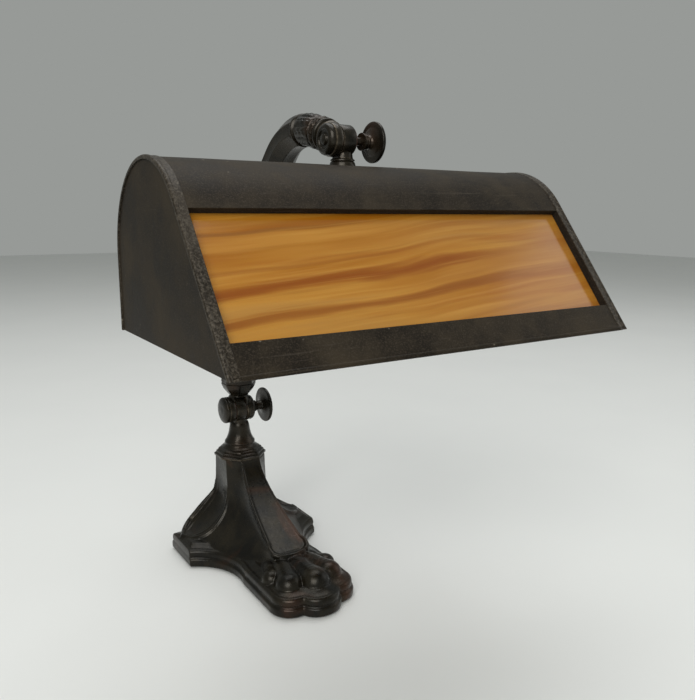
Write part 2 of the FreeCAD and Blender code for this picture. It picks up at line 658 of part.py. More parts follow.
def socket_nut():
    """Return the nut behind the bracket leaf."""
    return hexagon_nut(vec(LEAF_X - STRAP_THICK - 3.5, UPPER_Y, SOCKET_Z), AXIS_X, AXIS_Z, 3.5, 14.0,
                       NIPPLE_RADIUS + RUNNING_FIT)


def socket_cap():
    """Return the domed cap of the lampholder."""
    hole = NIPPLE_RADIUS + RUNNING_FIT
    profile = [(0, hole), (0, 7.6), (4.5, 7.6), (6.0, 9.0), (9.0, 13.6), (13.0, 16.2), (16.0, CAP_RADIUS),
               (20.0, CAP_RADIUS), (20.0, CAP_RADIUS - 0.7), (16.2, CAP_RADIUS - 0.7), (13.4, 15.4),
               (9.6, 12.8), (7.2, 9.6), (7.2, hole)]
    return turned(profile, vec(LEAF_X, UPPER_Y, SOCKET_Z), AXIS_X)


def key_hole(radius):
    """Return the hole that the switch key's shaft passes through."""
    return rod(vec(KEY_X, UPPER_Y, SOCKET_Z - 30.0), AXIS_Z, 26.0, radius)


def socket_shell():
    """Return the outer shell of the lampholder."""
    shell = tube(vec(LEAF_X + 17.0, UPPER_Y, SOCKET_Z), AXIS_X, 41.0, SHELL_RADIUS, SHELL_RADIUS - 0.6)
    return shell.cut(key_hole(KEY_SHAFT_RADIUS + 0.8))


def socket_liner():
    """Return the insulating liner inside the shell."""
    liner = tube(vec(LEAF_X + 17.5, UPPER_Y, SOCKET_Z), AXIS_X, 41.5, LINER_RADIUS, LINER_RADIUS - 0.6)
    return liner.cut(key_hole(KEY_SHAFT_RADIUS + 0.8))


def socket_body():
    """Return the moulded body that holds the switch and the contacts."""
    body = rod(vec(LEAF_X + 14.0, UPPER_Y, SOCKET_Z), AXIS_X, 20.0, BODY_RADIUS)
    return body.cut(key_hole(KEY_SHAFT_RADIUS + RUNNING_FIT))


def screw_shell():
    """Return the threaded sleeve that takes the bulb."""
    return tube(vec(LEAF_X + 34.0, UPPER_Y, SOCKET_Z), AXIS_X, 23.0, SCREW_SHELL_RADIUS,
                SCREW_SHELL_RADIUS - 0.4)


def centre_contact():
    """Return the spring contact at the bottom of the sleeve."""
    return rod(vec(LEAF_X + 34.0, UPPER_Y, SOCKET_Z), AXIS_X, 1.2, 3.2)


def switch_key():
    """Return the turn key: a shaft and a flat oval grip below the lampholder."""
    shaft = rod(vec(KEY_X, UPPER_Y, SOCKET_Z - 28.0), AXIS_Z, 23.0, KEY_SHAFT_RADIUS)
    grips = []
    for side in (-1, 1):
        start = vec(KEY_X + side * 3.4, UPPER_Y - 1.4, SOCKET_Z - 27.0)
        grips.append(rod(start, AXIS_Y, 2.8, 5.2))
    middle = block(vec(KEY_X - 3.4, UPPER_Y - 1.4, SOCKET_Z - 32.2),
                   vec(KEY_X + 3.4, UPPER_Y + 1.4, SOCKET_Z - 21.8))
    return fused([middle, shaft] + grips)


# ---- bulb -------------------------------------------------------------------------------------
def bulb_base():
    """Return the bulb's metal screw base."""
    profile = [(0, 0), (0, 3.0), (1.0, 4.6), (3.2, 8.5), (4.0, BULB_BASE_RADIUS), (21.0, BULB_BASE_RADIUS),
               (21.0, BULB_BASE_RADIUS - 0.5), (6.0, BULB_BASE_RADIUS - 0.5), (6.0, 0)]
    return turned(profile, vec(LEAF_X + 35.4, UPPER_Y, SOCKET_Z), AXIS_X)


def bulb_glass():
    """Return the tubular glass envelope."""
    start = LEAF_X + 50.0
    length = BULB_END_X - start
    wall = 0.8
    outer = [(0, 11.8), (9.0, 11.8), (15.0, 13.0), (22.0, BULB_RADIUS)]
    for step in range(7):
        angle = math.radians(15 * step)
        outer.append((length - BULB_RADIUS + BULB_RADIUS * math.sin(angle), BULB_RADIUS * math.cos(angle)))
    outer[-1] = (length, 0)
    inner = [(length - wall, 0)]
    for step in range(5, -1, -1):
        angle = math.radians(15 * step)
        radius = BULB_RADIUS - wall
        inner.append((length - BULB_RADIUS + radius * math.sin(angle), radius * math.cos(angle)))
    inner += [(22.4, BULB_RADIUS - wall), (15.3, 12.2), (9.2, 11.0), (0, 11.0)]
    return turned(outer + inner, vec(start, UPPER_Y, SOCKET_Z), AXIS_X)


def bulb_stem():
    """Return the glass stem inside the bulb."""
    start = vec(LEAF_X + 52.0, UPPER_Y, SOCKET_Z)
    return turned([(0, 0), (0, 8.0), (10.0, 3.0), (38.0, 2.0), (38.0, 0)], start, AXIS_X)


def bulb_filament():
    """Return the filament on its support wires."""
    root_x = LEAF_X + 90.1
    spread = 7.0
    solids = []
    for side in (-1, 1):
        start = vec(root_x, UPPER_Y, SOCKET_Z + side * 0.6)
        end = vec(root_x + 30.0, UPPER_Y, SOCKET_Z + side * spread)
        solids.append(Part.makeCylinder(0.4, (end - start).Length, start, end - start))
    low = vec(root_x + 30.0, UPPER_Y, SOCKET_Z - spread - 0.6)
    solids.append(rod(low, AXIS_Z, 2 * spread + 1.2, 0.7))
    return fused(solids)


def build():
    """Return every node's shape."""
    lower_hole = LOWER_SCREW_RADIUS + RUNNING_FIT
    upper_hole = UPPER_SCREW_RADIUS + RUNNING_FIT
    return {
        "base_casting": base_casting(),
        "felt_pad": felt_pad(),
        "cord_bushing": cord_bushing(),
        "column_neck": column_neck(),
        "column_nipple": column_nipple(),
        "column_washer": column_washer(),
        "column_locknut": column_locknut(),
        "lower_fork": lower_fork(),
        "lower_cap_nut": cap_nut(LOWER_PIVOT, LOWER_LEFT_X, 9.4, LOWER_SCREW_RADIUS),
        "lower_friction_washers": friction_washers(LOWER_PIVOT, LOWER_TONGUE_HALF, 9.5, lower_hole),
        "lower_thumbscrew": thumbscrew(LOWER_PIVOT, LOWER_RIGHT_X + 0.1, LOWER_LEFT_X - 1.8,
                                       LOWER_SCREW_RADIUS, 3.9, 5.4, 23.0, 14.5),
        "arm_tube": arm_tube(),
        "arm_collar": arm_collar(),
        "collar_nipple": collar_nipple(),
        "upper_fork": upper_fork(),
        "upper_cap_nut": cap_nut(UPPER_PIVOT, UPPER_LEFT_X, 9.0, UPPER_SCREW_RADIUS),
        "upper_friction_washers": friction_washers(UPPER_PIVOT, UPPER_TONGUE_HALF, 8.2, upper_hole),
        "upper_thumbscrew": thumbscrew(UPPER_PIVOT, UPPER_RIGHT_X + 0.1, UPPER_LEFT_X - 1.8,
                                       UPPER_SCREW_RADIUS, 3.6, 4.8, 20.0, 12.25),
        "shade_stem": shade_stem(),
        "stem_seat": stem_seat(),
        "shade_nipple": shade_nipple(),
        "inner_saddle": inner_saddle(),
        "shade_locknut": shade_locknut(),
        "shade_shell": shade_shell(),
        "left_end_plate": end_plate(-1),
        "right_end_plate": end_plate(1),
        "left_edge_bead": edge_bead(-1),
        "right_edge_bead": edge_bead(1),
        "window_frame": window_frame(),
        "glass_panel": glass_panel(),
        "glass_clips": glass_clips(),
        "socket_bracket": socket_bracket(),
        "socket_nipple": socket_nipple(),
        "socket_nut": socket_nut(),
        "socket_cap": socket_cap(),
        "socket_shell": socket_shell(),
        "socket_liner": socket_liner(),
        "socket_body": socket_body(),
        "screw_shell": screw_shell(),
        "centre_contact": centre_contact(),
        "switch_key": switch_key(),
        "bulb_base": bulb_base(),
        "bulb_glass": bulb_glass(),
        "bulb_stem": bulb_stem(),
        "bulb_filament": bulb_filament(),
    }


os.makedirs("parts", exist_ok=True)
for node, shape in build().items():
    shape.exportStep(os.path.join("parts", node + ".step"))
    print(node, shape.isValid(), len(shape.Solids), round(shape.Volume))
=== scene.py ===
"""Looks of the banker desk lamp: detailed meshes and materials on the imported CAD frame.

Shapes are worked out in millimetres in the CAD's frame and turned into metres by piece().
"""

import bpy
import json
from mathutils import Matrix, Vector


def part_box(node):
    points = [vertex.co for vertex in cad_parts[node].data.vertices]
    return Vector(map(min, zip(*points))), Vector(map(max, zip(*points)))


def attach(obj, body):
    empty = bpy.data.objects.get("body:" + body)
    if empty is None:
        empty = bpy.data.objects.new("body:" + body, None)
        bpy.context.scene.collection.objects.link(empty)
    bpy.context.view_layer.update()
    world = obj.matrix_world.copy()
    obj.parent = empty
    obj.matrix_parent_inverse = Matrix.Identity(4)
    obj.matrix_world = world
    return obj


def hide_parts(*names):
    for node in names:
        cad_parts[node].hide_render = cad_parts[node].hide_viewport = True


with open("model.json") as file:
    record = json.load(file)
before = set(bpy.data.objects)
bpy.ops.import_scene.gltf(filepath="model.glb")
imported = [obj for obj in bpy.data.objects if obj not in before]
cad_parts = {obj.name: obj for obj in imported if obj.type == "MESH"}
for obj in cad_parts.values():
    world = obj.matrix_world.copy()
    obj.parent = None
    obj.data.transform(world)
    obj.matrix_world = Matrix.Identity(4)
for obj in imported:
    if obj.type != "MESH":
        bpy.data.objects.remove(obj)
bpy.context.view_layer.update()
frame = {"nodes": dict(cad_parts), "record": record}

import json
import math

import bmesh
import bpy
from mathutils import Matrix, Vector, noise

MM = 0.001
JOINTS = {joint["name"]: joint for joint in frame["record"]["behaviour"]["joints"]}


def box_mm(node):
    """Return a CAD node's two corners in millimetres."""
    low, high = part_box(node)
    return Vector(low) / MM, Vector(high) / MM


# ---- places, from the frame ---------------------------------------------------------------------
LOWER = Vector(JOINTS["arm_tilt"]["pos_m"]) / MM
UPPER = Vector(JOINTS["shade_tilt"]["pos_m"]) / MM
SHELL_LOW, SHELL_HIGH = box_mm("shade_shell")
LEFT_BEAD_LOW = box_mm("left_edge_bead")[0]
CASTING_LOW, CASTING_HIGH = box_mm("base_casting")
NECK_LOW = box_mm("column_neck")[0]
LOWER_FORK_LOW = box_mm("lower_fork")[0]
SOCKET_X = box_mm("socket_cap")[0].x
SOCKET = Vector((0, UPPER.y, sum(corner.z for corner in box_mm("bulb_glass")) / 2))
X = Vector((1, 0, 0))
Y = Vector((0, 1, 0))
Z = Vector((0, 0, 1))

# ---- driving sizes, in millimetres --------------------------------------------------------------
TONGUE_X = -2.0
SHADE_HALF = -LEFT_BEAD_LOW.x
SHADE_BOTTOM = SHELL_LOW.z
SHADE_BACK = SHELL_HIGH.y
SHADE_RADIUS = 50.4
SHADE_CENTRE = Vector((0, SHADE_BACK - SHADE_RADIUS, 254.0))
FRONT_SLOPE = math.radians(52.13)
UP_FRONT = Vector((0, math.cos(FRONT_SLOPE), math.sin(FRONT_SLOPE)))
INWARD = Vector((0, math.sin(FRONT_SLOPE), -math.cos(FRONT_SLOPE)))
SHEET = 0.9
WINDOW_HALF = 121.0
WINDOW_LOW = 17.5
WINDOW_HIGH = 86.5
STRIP_WIDTH = 6.0
PLINTH_TOP = 14.4
FELT_THICK = CASTING_LOW.z
FOOT_FRONT_Y = -26.7        # corners of the side feet
FOOT_BACK_Y = 14.7
HEEL_HALF = 15.0            # half width of the short rear heel
COLUMN_TOP = NECK_LOW.z
CUFF_Z = 26.0               # where the front of the column ends over the paw
COLUMN_LOW_Z = 11.0         # the column's lowest section, buried in the plinth
COLUMN_LEVELS = 60
COLUMN_SIDE = 17.5          # reach of the column at its top, and how much its foot flares out
SIDE_FLARE = 34.0
COLUMN_FRONT = 20.5
FRONT_FLARE = 68.5
LEAF_LEAN = 6.5             # how much further out the back edge of a side leaf lies
LEAF_TIP_START = 0.86       # how far down the column a side leaf starts to close
END_SLOPE = math.radians(13.0)
ARM_OUT = Vector((0, math.cos(END_SLOPE), math.sin(END_SLOPE)))
LOW_ARC = Vector((0, -270.0, 125.0))
LOW_ARC_RADIUS = 270.0
TOP_ARC_RADIUS = 46.0
ARC_CHANGE = math.radians(45.0)
COLLAR_START = 20.2
COLLAR_END = 52.0
FERRULE_TOP = 140.0


# ---- mesh helpers -------------------------------------------------------------------------------
def raw_object(name, verts, faces):
    """Return a linked object from millimetre vertices, welded and with outward normals."""
    mesh = bpy.data.meshes.new(name)
    mesh.from_pydata([tuple(vert * MM) for vert in verts], [], faces)
    work = bmesh.new()
    work.from_mesh(mesh)
    bmesh.ops.remove_doubles(work, verts=work.verts, dist=1e-6)
    bmesh.ops.dissolve_degenerate(work, edges=work.edges, dist=1e-7)
    bmesh.ops.recalc_face_normals(work, faces=work.faces)
    work.to_mesh(mesh)
    work.free()
    item = bpy.data.objects.new(name, mesh)
    bpy.context.scene.collection.objects.link(item)
    return item


def apply_modifiers(item):
    """Turn an object's modifiers into its mesh."""
    graph = bpy.context.evaluated_depsgraph_get()
    mesh = bpy.data.meshes.new_from_object(item.evaluated_get(graph))
    item.modifiers.clear()
    item.data = mesh
    return item


def bevelled(item, width, segments=2, angle=28):
    """Round an object's sharp edges."""
    bevel = item.modifiers.new("edges", "BEVEL")
    bevel.width = width * MM
    bevel.segments = segments
    bevel.limit_method = "ANGLE"
    bevel.angle_limit = math.radians(angle)
    return item


def combined(first, others, operation="UNION"):
    """Join, cut or intersect solid objects into the first one."""
    for other in others:
        change = first.modifiers.new("solid", "BOOLEAN")
        change.operation = operation
        change.solver = "EXACT"
        change.object = other
        apply_modifiers(first)
        bpy.data.objects.remove(other)
    return first


def finish_piece(item, name, body, nodes, slot, angle=35, material=None):
    """Name, shade, paint and mount an object on its body, in place of its CAD nodes."""
    item.name = name
    mesh = item.data
    mesh.name = name
    mesh.polygons.foreach_set("use_smooth", [True] * len(mesh.polygons))
    mesh.set_sharp_from_angle(angle=math.radians(angle))
    mesh.materials.clear()
    mesh.materials.append(MATERIALS[material or slot])
    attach(item, body)
    if nodes:
        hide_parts(*nodes)
    return item


def loft(rings, caps=True, closed=True):
    """Return vertices and faces through rings of equal length."""
    count = len(rings[0])
    verts = [point for ring in rings for point in ring]
    faces = []
    for level in range(len(rings) - 1):
        for step in range(count if closed else count - 1):
            after = (step + 1) % count
            low = level * count
            faces.append((low + step, low + after, low + count + after, low + count + step))
    if caps:
        faces.append(tuple(reversed(range(count))))
        faces.append(tuple(range(len(verts) - count, len(verts))))
    return verts, faces


def frame_of(direction):
    """Return two unit vectors square to a direction."""
    side = X if abs(direction.x) < 0.9 else Y
    side = (side - direction * side.dot(direction)).normalized()
    return side, direction.cross(side)


def lathe(profile, base, direction, segments=96):
    """Return vertices and faces of a turned shape from (along, radius) points."""
    side, other = frame_of(direction)
    rings = []
    for along, radius in profile:
        ring = []
        for step in range(segments):
            angle = 2 * math.pi * step / segments
            ring.append(base + direction * along + side * (radius * math.cos(angle))
                        + other * (radius * math.sin(angle)))
        rings.append(ring)
    open_ended = profile[0] == profile[-1]
    return loft(rings, caps=not open_ended)


def smooth_profile(points, per=5):
    """Return (a, b) points on a Catmull-Rom curve through the given ones."""
    result = []
    for index in range(len(points) - 1):
        before = points[max(index - 1, 0)]
        start, end = points[index], points[index + 1]
        after = points[min(index + 2, len(points) - 1)]
        for step in range(per):
            t = step / per
            value = []
            for a, b, c, d in zip(before, start, end, after):
                value.append(0.5 * (2 * b + (c - a) * t + (2 * a - 5 * b + 4 * c - d) * t * t
                                    + (3 * b - a - 3 * c + d) * t ** 3))
            result.append(tuple(value))
    result.append(tuple(points[-1]))
    return result


def tube_along(points, radii, segments=14):
    """Return a closed round tube through points with a radius at each."""
    rings = []
    for index, point in enumerate(points):
        before = points[max(index - 1, 0)]
        after = points[min(index + 1, len(points) - 1)]
        side, other = frame_of((after - before).normalized())
        ring = []
        for step in range(segments):
            angle = 2 * math.pi * step / segments
            ring.append(point + (side * math.cos(angle) + other * math.sin(angle)) * radii[index])
        rings.append(ring)
    return loft(rings)


def octagon_ring(centre, side, other, half, corner=0.8, flute=0.0):
    """Return an octagon with blunted corners and slightly hollow flats."""
    ring = []
    edge = half * math.tan(math.pi / 8)
    for flat in range(8):
        angle = flat * math.pi / 4
        out = side * math.cos(angle) + other * math.sin(angle)
        along = other * math.cos(angle) - side * math.sin(angle)
        for share, hollow in ((-1, 0.0), (-0.5, 0.75), (0, 1.0), (0.5, 0.75), (1, 0.0)):
            reach = edge - corner if abs(share) == 1 else edge
            ring.append(centre + out * (half - flute * hollow) + along * (reach * share))
    return ring


def octagon_stack(levels, centre=(0.0, 0.0), corner=0.6):
    """Return an upright octagonal solid through (z, half width) levels."""
    rings = [octagon_ring(Vector((centre[0], centre[1], z)), X, Y, half, corner) for z, half in levels]
    return loft(rings)


def box_solid(low, high):
    """Return a box as vertices and faces."""
    ring = [(low.x, low.y), (high.x, low.y), (high.x, high.y), (low.x, high.y)]
    return loft([[Vector((x, y, z)) for x, y in ring] for z in (low.z, high.z)])


# ---- material helpers ---------------------------------------------------------------------------
class Shader:
    """A small builder for one procedural material."""

    def __init__(self, name):
        self.material = bpy.data.materials.new(name)
        self.material.use_nodes = True
        self.tree = self.material.node_tree
        self.bsdf = self.tree.nodes["Principled BSDF"]
        self.place = self.tree.nodes.new("ShaderNodeTexCoord").outputs["Object"]
        self.normal = None

    def add(self, kind, settings=(), **sockets):
        """Add a node, set its properties and its inputs, and return it."""
        item = self.tree.nodes.new(kind)
        for key, value in settings:
            setattr(item, key, value)
        for key, value in sockets.items():
            self.put(item.inputs[key.replace("_", " ")], value)
        return item

    def put(self, socket, value):
        """Link or set an input."""
        if isinstance(value, bpy.types.NodeSocket):
            self.tree.links.new(value, socket)
        else:
            socket.default_value = value

    def stretch(self, scale, turn=(0, 0, 0)):
        """Return object coordinates scaled and turned."""
        item = self.add("ShaderNodeMapping", Vector=self.place, Scale=scale)
        item.inputs["Rotation"].default_value = turn
        return item.outputs["Vector"]

    def cloud(self, scale, detail=4.0, roughness=0.55, where=None, distortion=0.0):
        """Return noise."""
        item = self.add("ShaderNodeTexNoise", Vector=where or self.place, Scale=scale, Detail=detail,
                        Roughness=roughness, Distortion=distortion)
        return item.outputs["Fac"]

    def blend(self, share, first, second):
        """Return a colour between two."""
        item = self.add("ShaderNodeMix", [("data_type", "RGBA")])
        self.put(item.inputs[0], share)
        self.put(item.inputs[6], first)
        self.put(item.inputs[7], second)
        return item.outputs[2]

    def steps(self, value, *stops):
        """Return a colour ramp of (position, colour or grey) stops."""
        item = self.add("ShaderNodeValToRGB", Fac=value)
        elements = item.color_ramp.elements
        while len(elements) < len(stops):
            elements.new(0.5)
        for element, (position, colour) in zip(elements, stops):
            element.position = position
            element.color = (*colour, 1) if isinstance(colour, tuple) else (colour, colour, colour, 1)
        return item.outputs["Color"]

    def span(self, value, low, high, start=0.0, end=1.0):
        """Return a value mapped from one range to another."""
        item = self.add("ShaderNodeMapRange", Value=value)
        item.inputs["From Min"].default_value = start
        item.inputs["From Max"].default_value = end
        item.inputs["To Min"].default_value = low
        item.inputs["To Max"].default_value = high
        return item.outputs["Result"]

    def sum(self, first, second, operation="ADD"):
        """Return an arithmetic result."""
        item = self.add("ShaderNodeMath", [("operation", operation)])
        self.put(item.inputs[0], first)
        self.put(item.inputs[1], second)
        return item.outputs[0]

    def bump(self, height, strength, distance):
        """Add a bump on top of the earlier ones."""
        item = self.add("ShaderNodeBump", Height=height, Strength=strength, Distance=distance * MM)
        if self.normal is not None:
            self.put(item.inputs["Normal"], self.normal)
        self.normal = item.outputs["Normal"]

    def done(self, colour, roughness, metallic=0.0, **extra):
        """Fill in the shader and return the material."""
        self.put(self.bsdf.inputs["Base Color"], colour)
        self.put(self.bsdf.inputs["Roughness"], roughness)
        self.bsdf.inputs["Metallic"].default_value = metallic
        for key, value in extra.items():
            self.bsdf.inputs[key.replace("_", " ")].default_value = value
        if self.normal is not None:
            self.put(self.bsdf.inputs["Normal"], self.normal)
        return self.material

    def edges(self, low, high):
        """Return a mask of the high spots of a dense mesh."""
        point = self.add("ShaderNodeNewGeometry").outputs["Pointiness"]
        return self.span(point, 0.0, 1.0, low, high)


def patina(name, dark, brown, worn, rough, wear, rust):
    """Return cast metal under a dark patina, with painted shade in its hollows, worn on its high spots."""
    shade = Shader(name)
    patches = shade.cloud(55, 5, 0.6, distortion=0.4)
    fine = shade.cloud(420, 4, 0.6)
    colour = shade.blend(shade.span(patches, 0.0, 1.0, 0.38, 0.66), (*dark, 1), (*brown, 1))
    rusty = shade.span(shade.cloud(24, 3, 0.5, distortion=1.0), 0.0, rust, 0.54, 0.72)
    colour = shade.blend(rusty, colour, (0.060, 0.024, 0.011, 1))
    # painted shade: concave hollows are darkened towards black, standing in for the shade that falls in them
    colour = shade.blend(shade.edges(0.485, 0.42), colour, (0.006, 0.005, 0.004, 1))
    mask = shade.sum(shade.edges(*wear), shade.span(fine, 0.25, 1.0, 0.30, 0.62), "MULTIPLY")
    colour = shade.blend(mask, colour, (*worn, 1))
    roughness = shade.span(fine, *rough, 0.3, 0.7)
    shade.bump(shade.cloud(900, 3, 0.6), 0.35, 0.12)
    shade.bump(shade.cloud(190, 3, 0.5), 0.30, 0.35)
    return shade.done(colour, roughness, 0.5, Specular_IOR_Level=0.38)


def dark_sheet(name, dark, light, rough=(0.48, 0.64), worn=0.0):
    """Return bronzed sheet metal with a fine speckle, dust and faint scratches."""
    shade = Shader(name)
    mottle = shade.cloud(30, 6, 0.65)
    fine = shade.cloud(1300, 3, 0.7)
    colour = shade.blend(shade.span(mottle, 0.0, 1.0, 0.40, 0.66), (*dark, 1), (*light, 1))
    colour = shade.blend(shade.span(fine, 0.0, 0.6, 0.50, 0.66), colour, (0.052, 0.041, 0.028, 1))
    cells = shade.add("ShaderNodeTexVoronoi", Vector=shade.place, Scale=150.0)
    dot = shade.span(cells.outputs["Distance"], 1.0, 0.0, 0.06, 0.12)
    chance = shade.add("ShaderNodeSeparateColor", Color=cells.outputs["Color"])
    some = shade.span(chance.outputs[0], 0.0, 1.0, 0.84, 0.90)
    speck = shade.sum(dot, some, "MULTIPLY")
    colour = shade.blend(speck, colour, (0.15, 0.13, 0.10, 1))
    scratch = shade.cloud(60, 2, 0.5, where=shade.stretch((0.35, 9, 9), (0.2, 0.3, 0.1)))
    colour = shade.blend(shade.span(scratch, 0.0, 0.25, 0.66, 0.72), colour, (0.07, 0.058, 0.045, 1))
    if worn:
        rubbed = shade.span(shade.cloud(650, 5, 0.7), 0.0, worn, 0.45, 0.75)
        colour = shade.blend(rubbed, colour, (0.20, 0.175, 0.14, 1))
    roughness = shade.span(mottle, *rough, 0.3, 0.7)
    shade.bump(fine, 0.25, 0.06)
    shade.bump(shade.cloud(45, 2, 0.4), 0.25, 0.6)
    return shade.done(colour, roughness, 0.1, Specular_IOR_Level=0.12)


def slag_glass():
    """Return opaque caramel glass with soft streaks that rise to the right and four dark veins."""
    shade = Shader("slag_glass")
    parts = shade.add("ShaderNodeSeparateXYZ", Vector=shade.place)
    along = parts.outputs["X"]
    rise = shade.sum(shade.sum(parts.outputs["Y"], UP_FRONT.y, "MULTIPLY"),
                     shade.sum(parts.outputs["Z"], UP_FRONT.z, "MULTIPLY"))
    foot = SHADE_CENTRE - INWARD * SHADE_RADIUS
    foot -= UP_FRONT * ((foot.z - SHADE_BOTTOM) / UP_FRONT.z)
    rise = shade.sum(rise, foot.dot(UP_FRONT) * MM, "SUBTRACT")
    plane = shade.add("ShaderNodeCombineXYZ", X=along, Y=rise).outputs[0]
    slow = shade.add("ShaderNodeTexNoise", [("noise_dimensions", "2D")], Vector=plane, Scale=11.0, Detail=1.5)
    sway = shade.sum(shade.sum(slow.outputs["Fac"], 0.5, "SUBTRACT"), 0.006, "MULTIPLY")
    tilt = shade.sum(along, 0.088, "MULTIPLY")
    level = shade.sum(shade.sum(rise, tilt, "SUBTRACT"), sway)
    step = shade.add("ShaderNodeMapRange", [("interpolation_type", "SMOOTHSTEP")], Value=along)
    step.inputs["From Min"].default_value = -0.045
    step.inputs["From Max"].default_value = 0.050
    step.inputs["To Min"].default_value = -0.0018
    step.inputs["To Max"].default_value = 0.0018
    upper_part = shade.span(rise, 0.0, 1.0, 0.036, 0.050)
    level = shade.sum(level, shade.sum(step.outputs["Result"], upper_part, "MULTIPLY"), "SUBTRACT")

    def streaks(stretch_x, stretch_y, shift, detail=4.0):
        where = shade.add("ShaderNodeCombineXYZ", X=shade.sum(along, stretch_x, "MULTIPLY"),
                          Y=shade.sum(shade.sum(level, stretch_y, "MULTIPLY"), shift)).outputs[0]
        item = shade.add("ShaderNodeTexNoise", [("noise_dimensions", "2D")], Vector=where, Scale=1.0,
                         Detail=detail, Roughness=0.5, Distortion=0.12)
        return item.outputs["Fac"]

    def vein(height, width, start, end, shift):
        wander = shade.sum(shade.sum(streaks(9.0, 90.0, shift, 3.0), 0.5, "SUBTRACT"), 2.4 * width,
                           "MULTIPLY")
        gap = shade.sum(shade.sum(level, height, "SUBTRACT"), wander)
        near = shade.span(shade.sum(gap, gap, "MULTIPLY"), 1.0, 0.0, 0.0, width * width)
        return shade.sum(near, shade.span(along, 1.0, 0.25, start, end), "MULTIPLY")

    broad = streaks(4.0, 48.0, 3.1, 3.0)
    middle = streaks(6.0, 120.0, 9.7, 3.0)
    thin = streaks(9.0, 380.0, 21.3, 3.0)
    colour = shade.steps(broad, (0.30, (0.26, 0.086, 0.003)), (0.44, (0.31, 0.121, 0.008)),
                         (0.52, (0.34, 0.142, 0.014)), (0.62, (0.38, 0.178, 0.025)),
                         (0.75, (0.35, 0.171, 0.034)))
    colour = shade.blend(shade.span(middle, 0.0, 0.55, 0.54, 0.72), colour, (0.43, 0.206, 0.033, 1))
    colour = shade.blend(shade.span(middle, 0.60, 0.0, 0.28, 0.44), colour, (0.26, 0.078, 0.002, 1))
    dull = shade.sum(shade.span(streaks(5.0, 60.0, 44.0, 2.0), 0.15, 0.9, 0.38, 0.66),
                     shade.span(along, 0.1, 0.75, -0.06, 0.12), "MULTIPLY")
    colour = shade.blend(dull, colour, (0.28, 0.113, 0.023, 1))
    veins = ((0.0545, 0.0042, 0.02, 0.09, 2.0, 0.95, (0.20, 0.050, 0.001)),
             (0.0385, 0.0028, 0.03, 0.12, 6.0, 0.85, (0.20, 0.057, 0.003)),
             (0.0660, 0.0016, -0.02, 0.08, 8.0, 0.6, (0.23, 0.075, 0.005)),
             (0.0870, 0.0014, -0.08, -0.02, 12.0, 0.85, (0.21, 0.078, 0.008)))
    for height, width, start, end, shift, strength, tint in veins:
        mask = shade.sum(vein(height, width, start, end, shift), strength, "MULTIPLY")
        colour = shade.blend(mask, colour, (*tint, 1))
    colour = shade.blend(shade.span(thin, 0.0, 0.28, 0.56, 0.76), colour, (0.47, 0.242, 0.046, 1))
    colour = shade.blend(shade.span(thin, 0.30, 0.0, 0.25, 0.42), colour, (0.21, 0.075, 0.006, 1))
    shade.bump(middle, 0.12, 0.4)
    return shade.done(colour, 0.16, 0.0, Coat_Weight=0.03, Coat_Roughness=0.08, Subsurface_Weight=0.04,
                      Subsurface_Scale=0.003)


def plain(name, first, second, rough, metallic=0.0, scale=120, grain=0.15, **extra):
    """Return a simple material with a soft variation of colour, gloss and surface."""
    shade = Shader(name)
    mottle = shade.cloud(scale, 4, 0.6)
    colour = shade.blend(shade.span(mottle, 0.0, 1.0, 0.35, 0.65), (*first, 1), (*second, 1))
    shade.bump(shade.cloud(scale * 6, 3, 0.6), grain, 0.1)
    return shade.done(colour, shade.span(mottle, *rough, 0.3, 0.7), metallic, **extra)


def felt_material():
    """Return green wool felt."""
    shade = Shader("felt")
    fibres = shade.cloud(2600, 4, 0.8)
    colour = shade.blend(fibres, (0.012, 0.045, 0.022, 1), (0.035, 0.11, 0.06, 1))
    shade.bump(fibres, 0.8, 0.25)
    return shade.done(colour, 0.95, 0.0, Sheen_Weight=0.35, Sheen_Roughness=0.5)


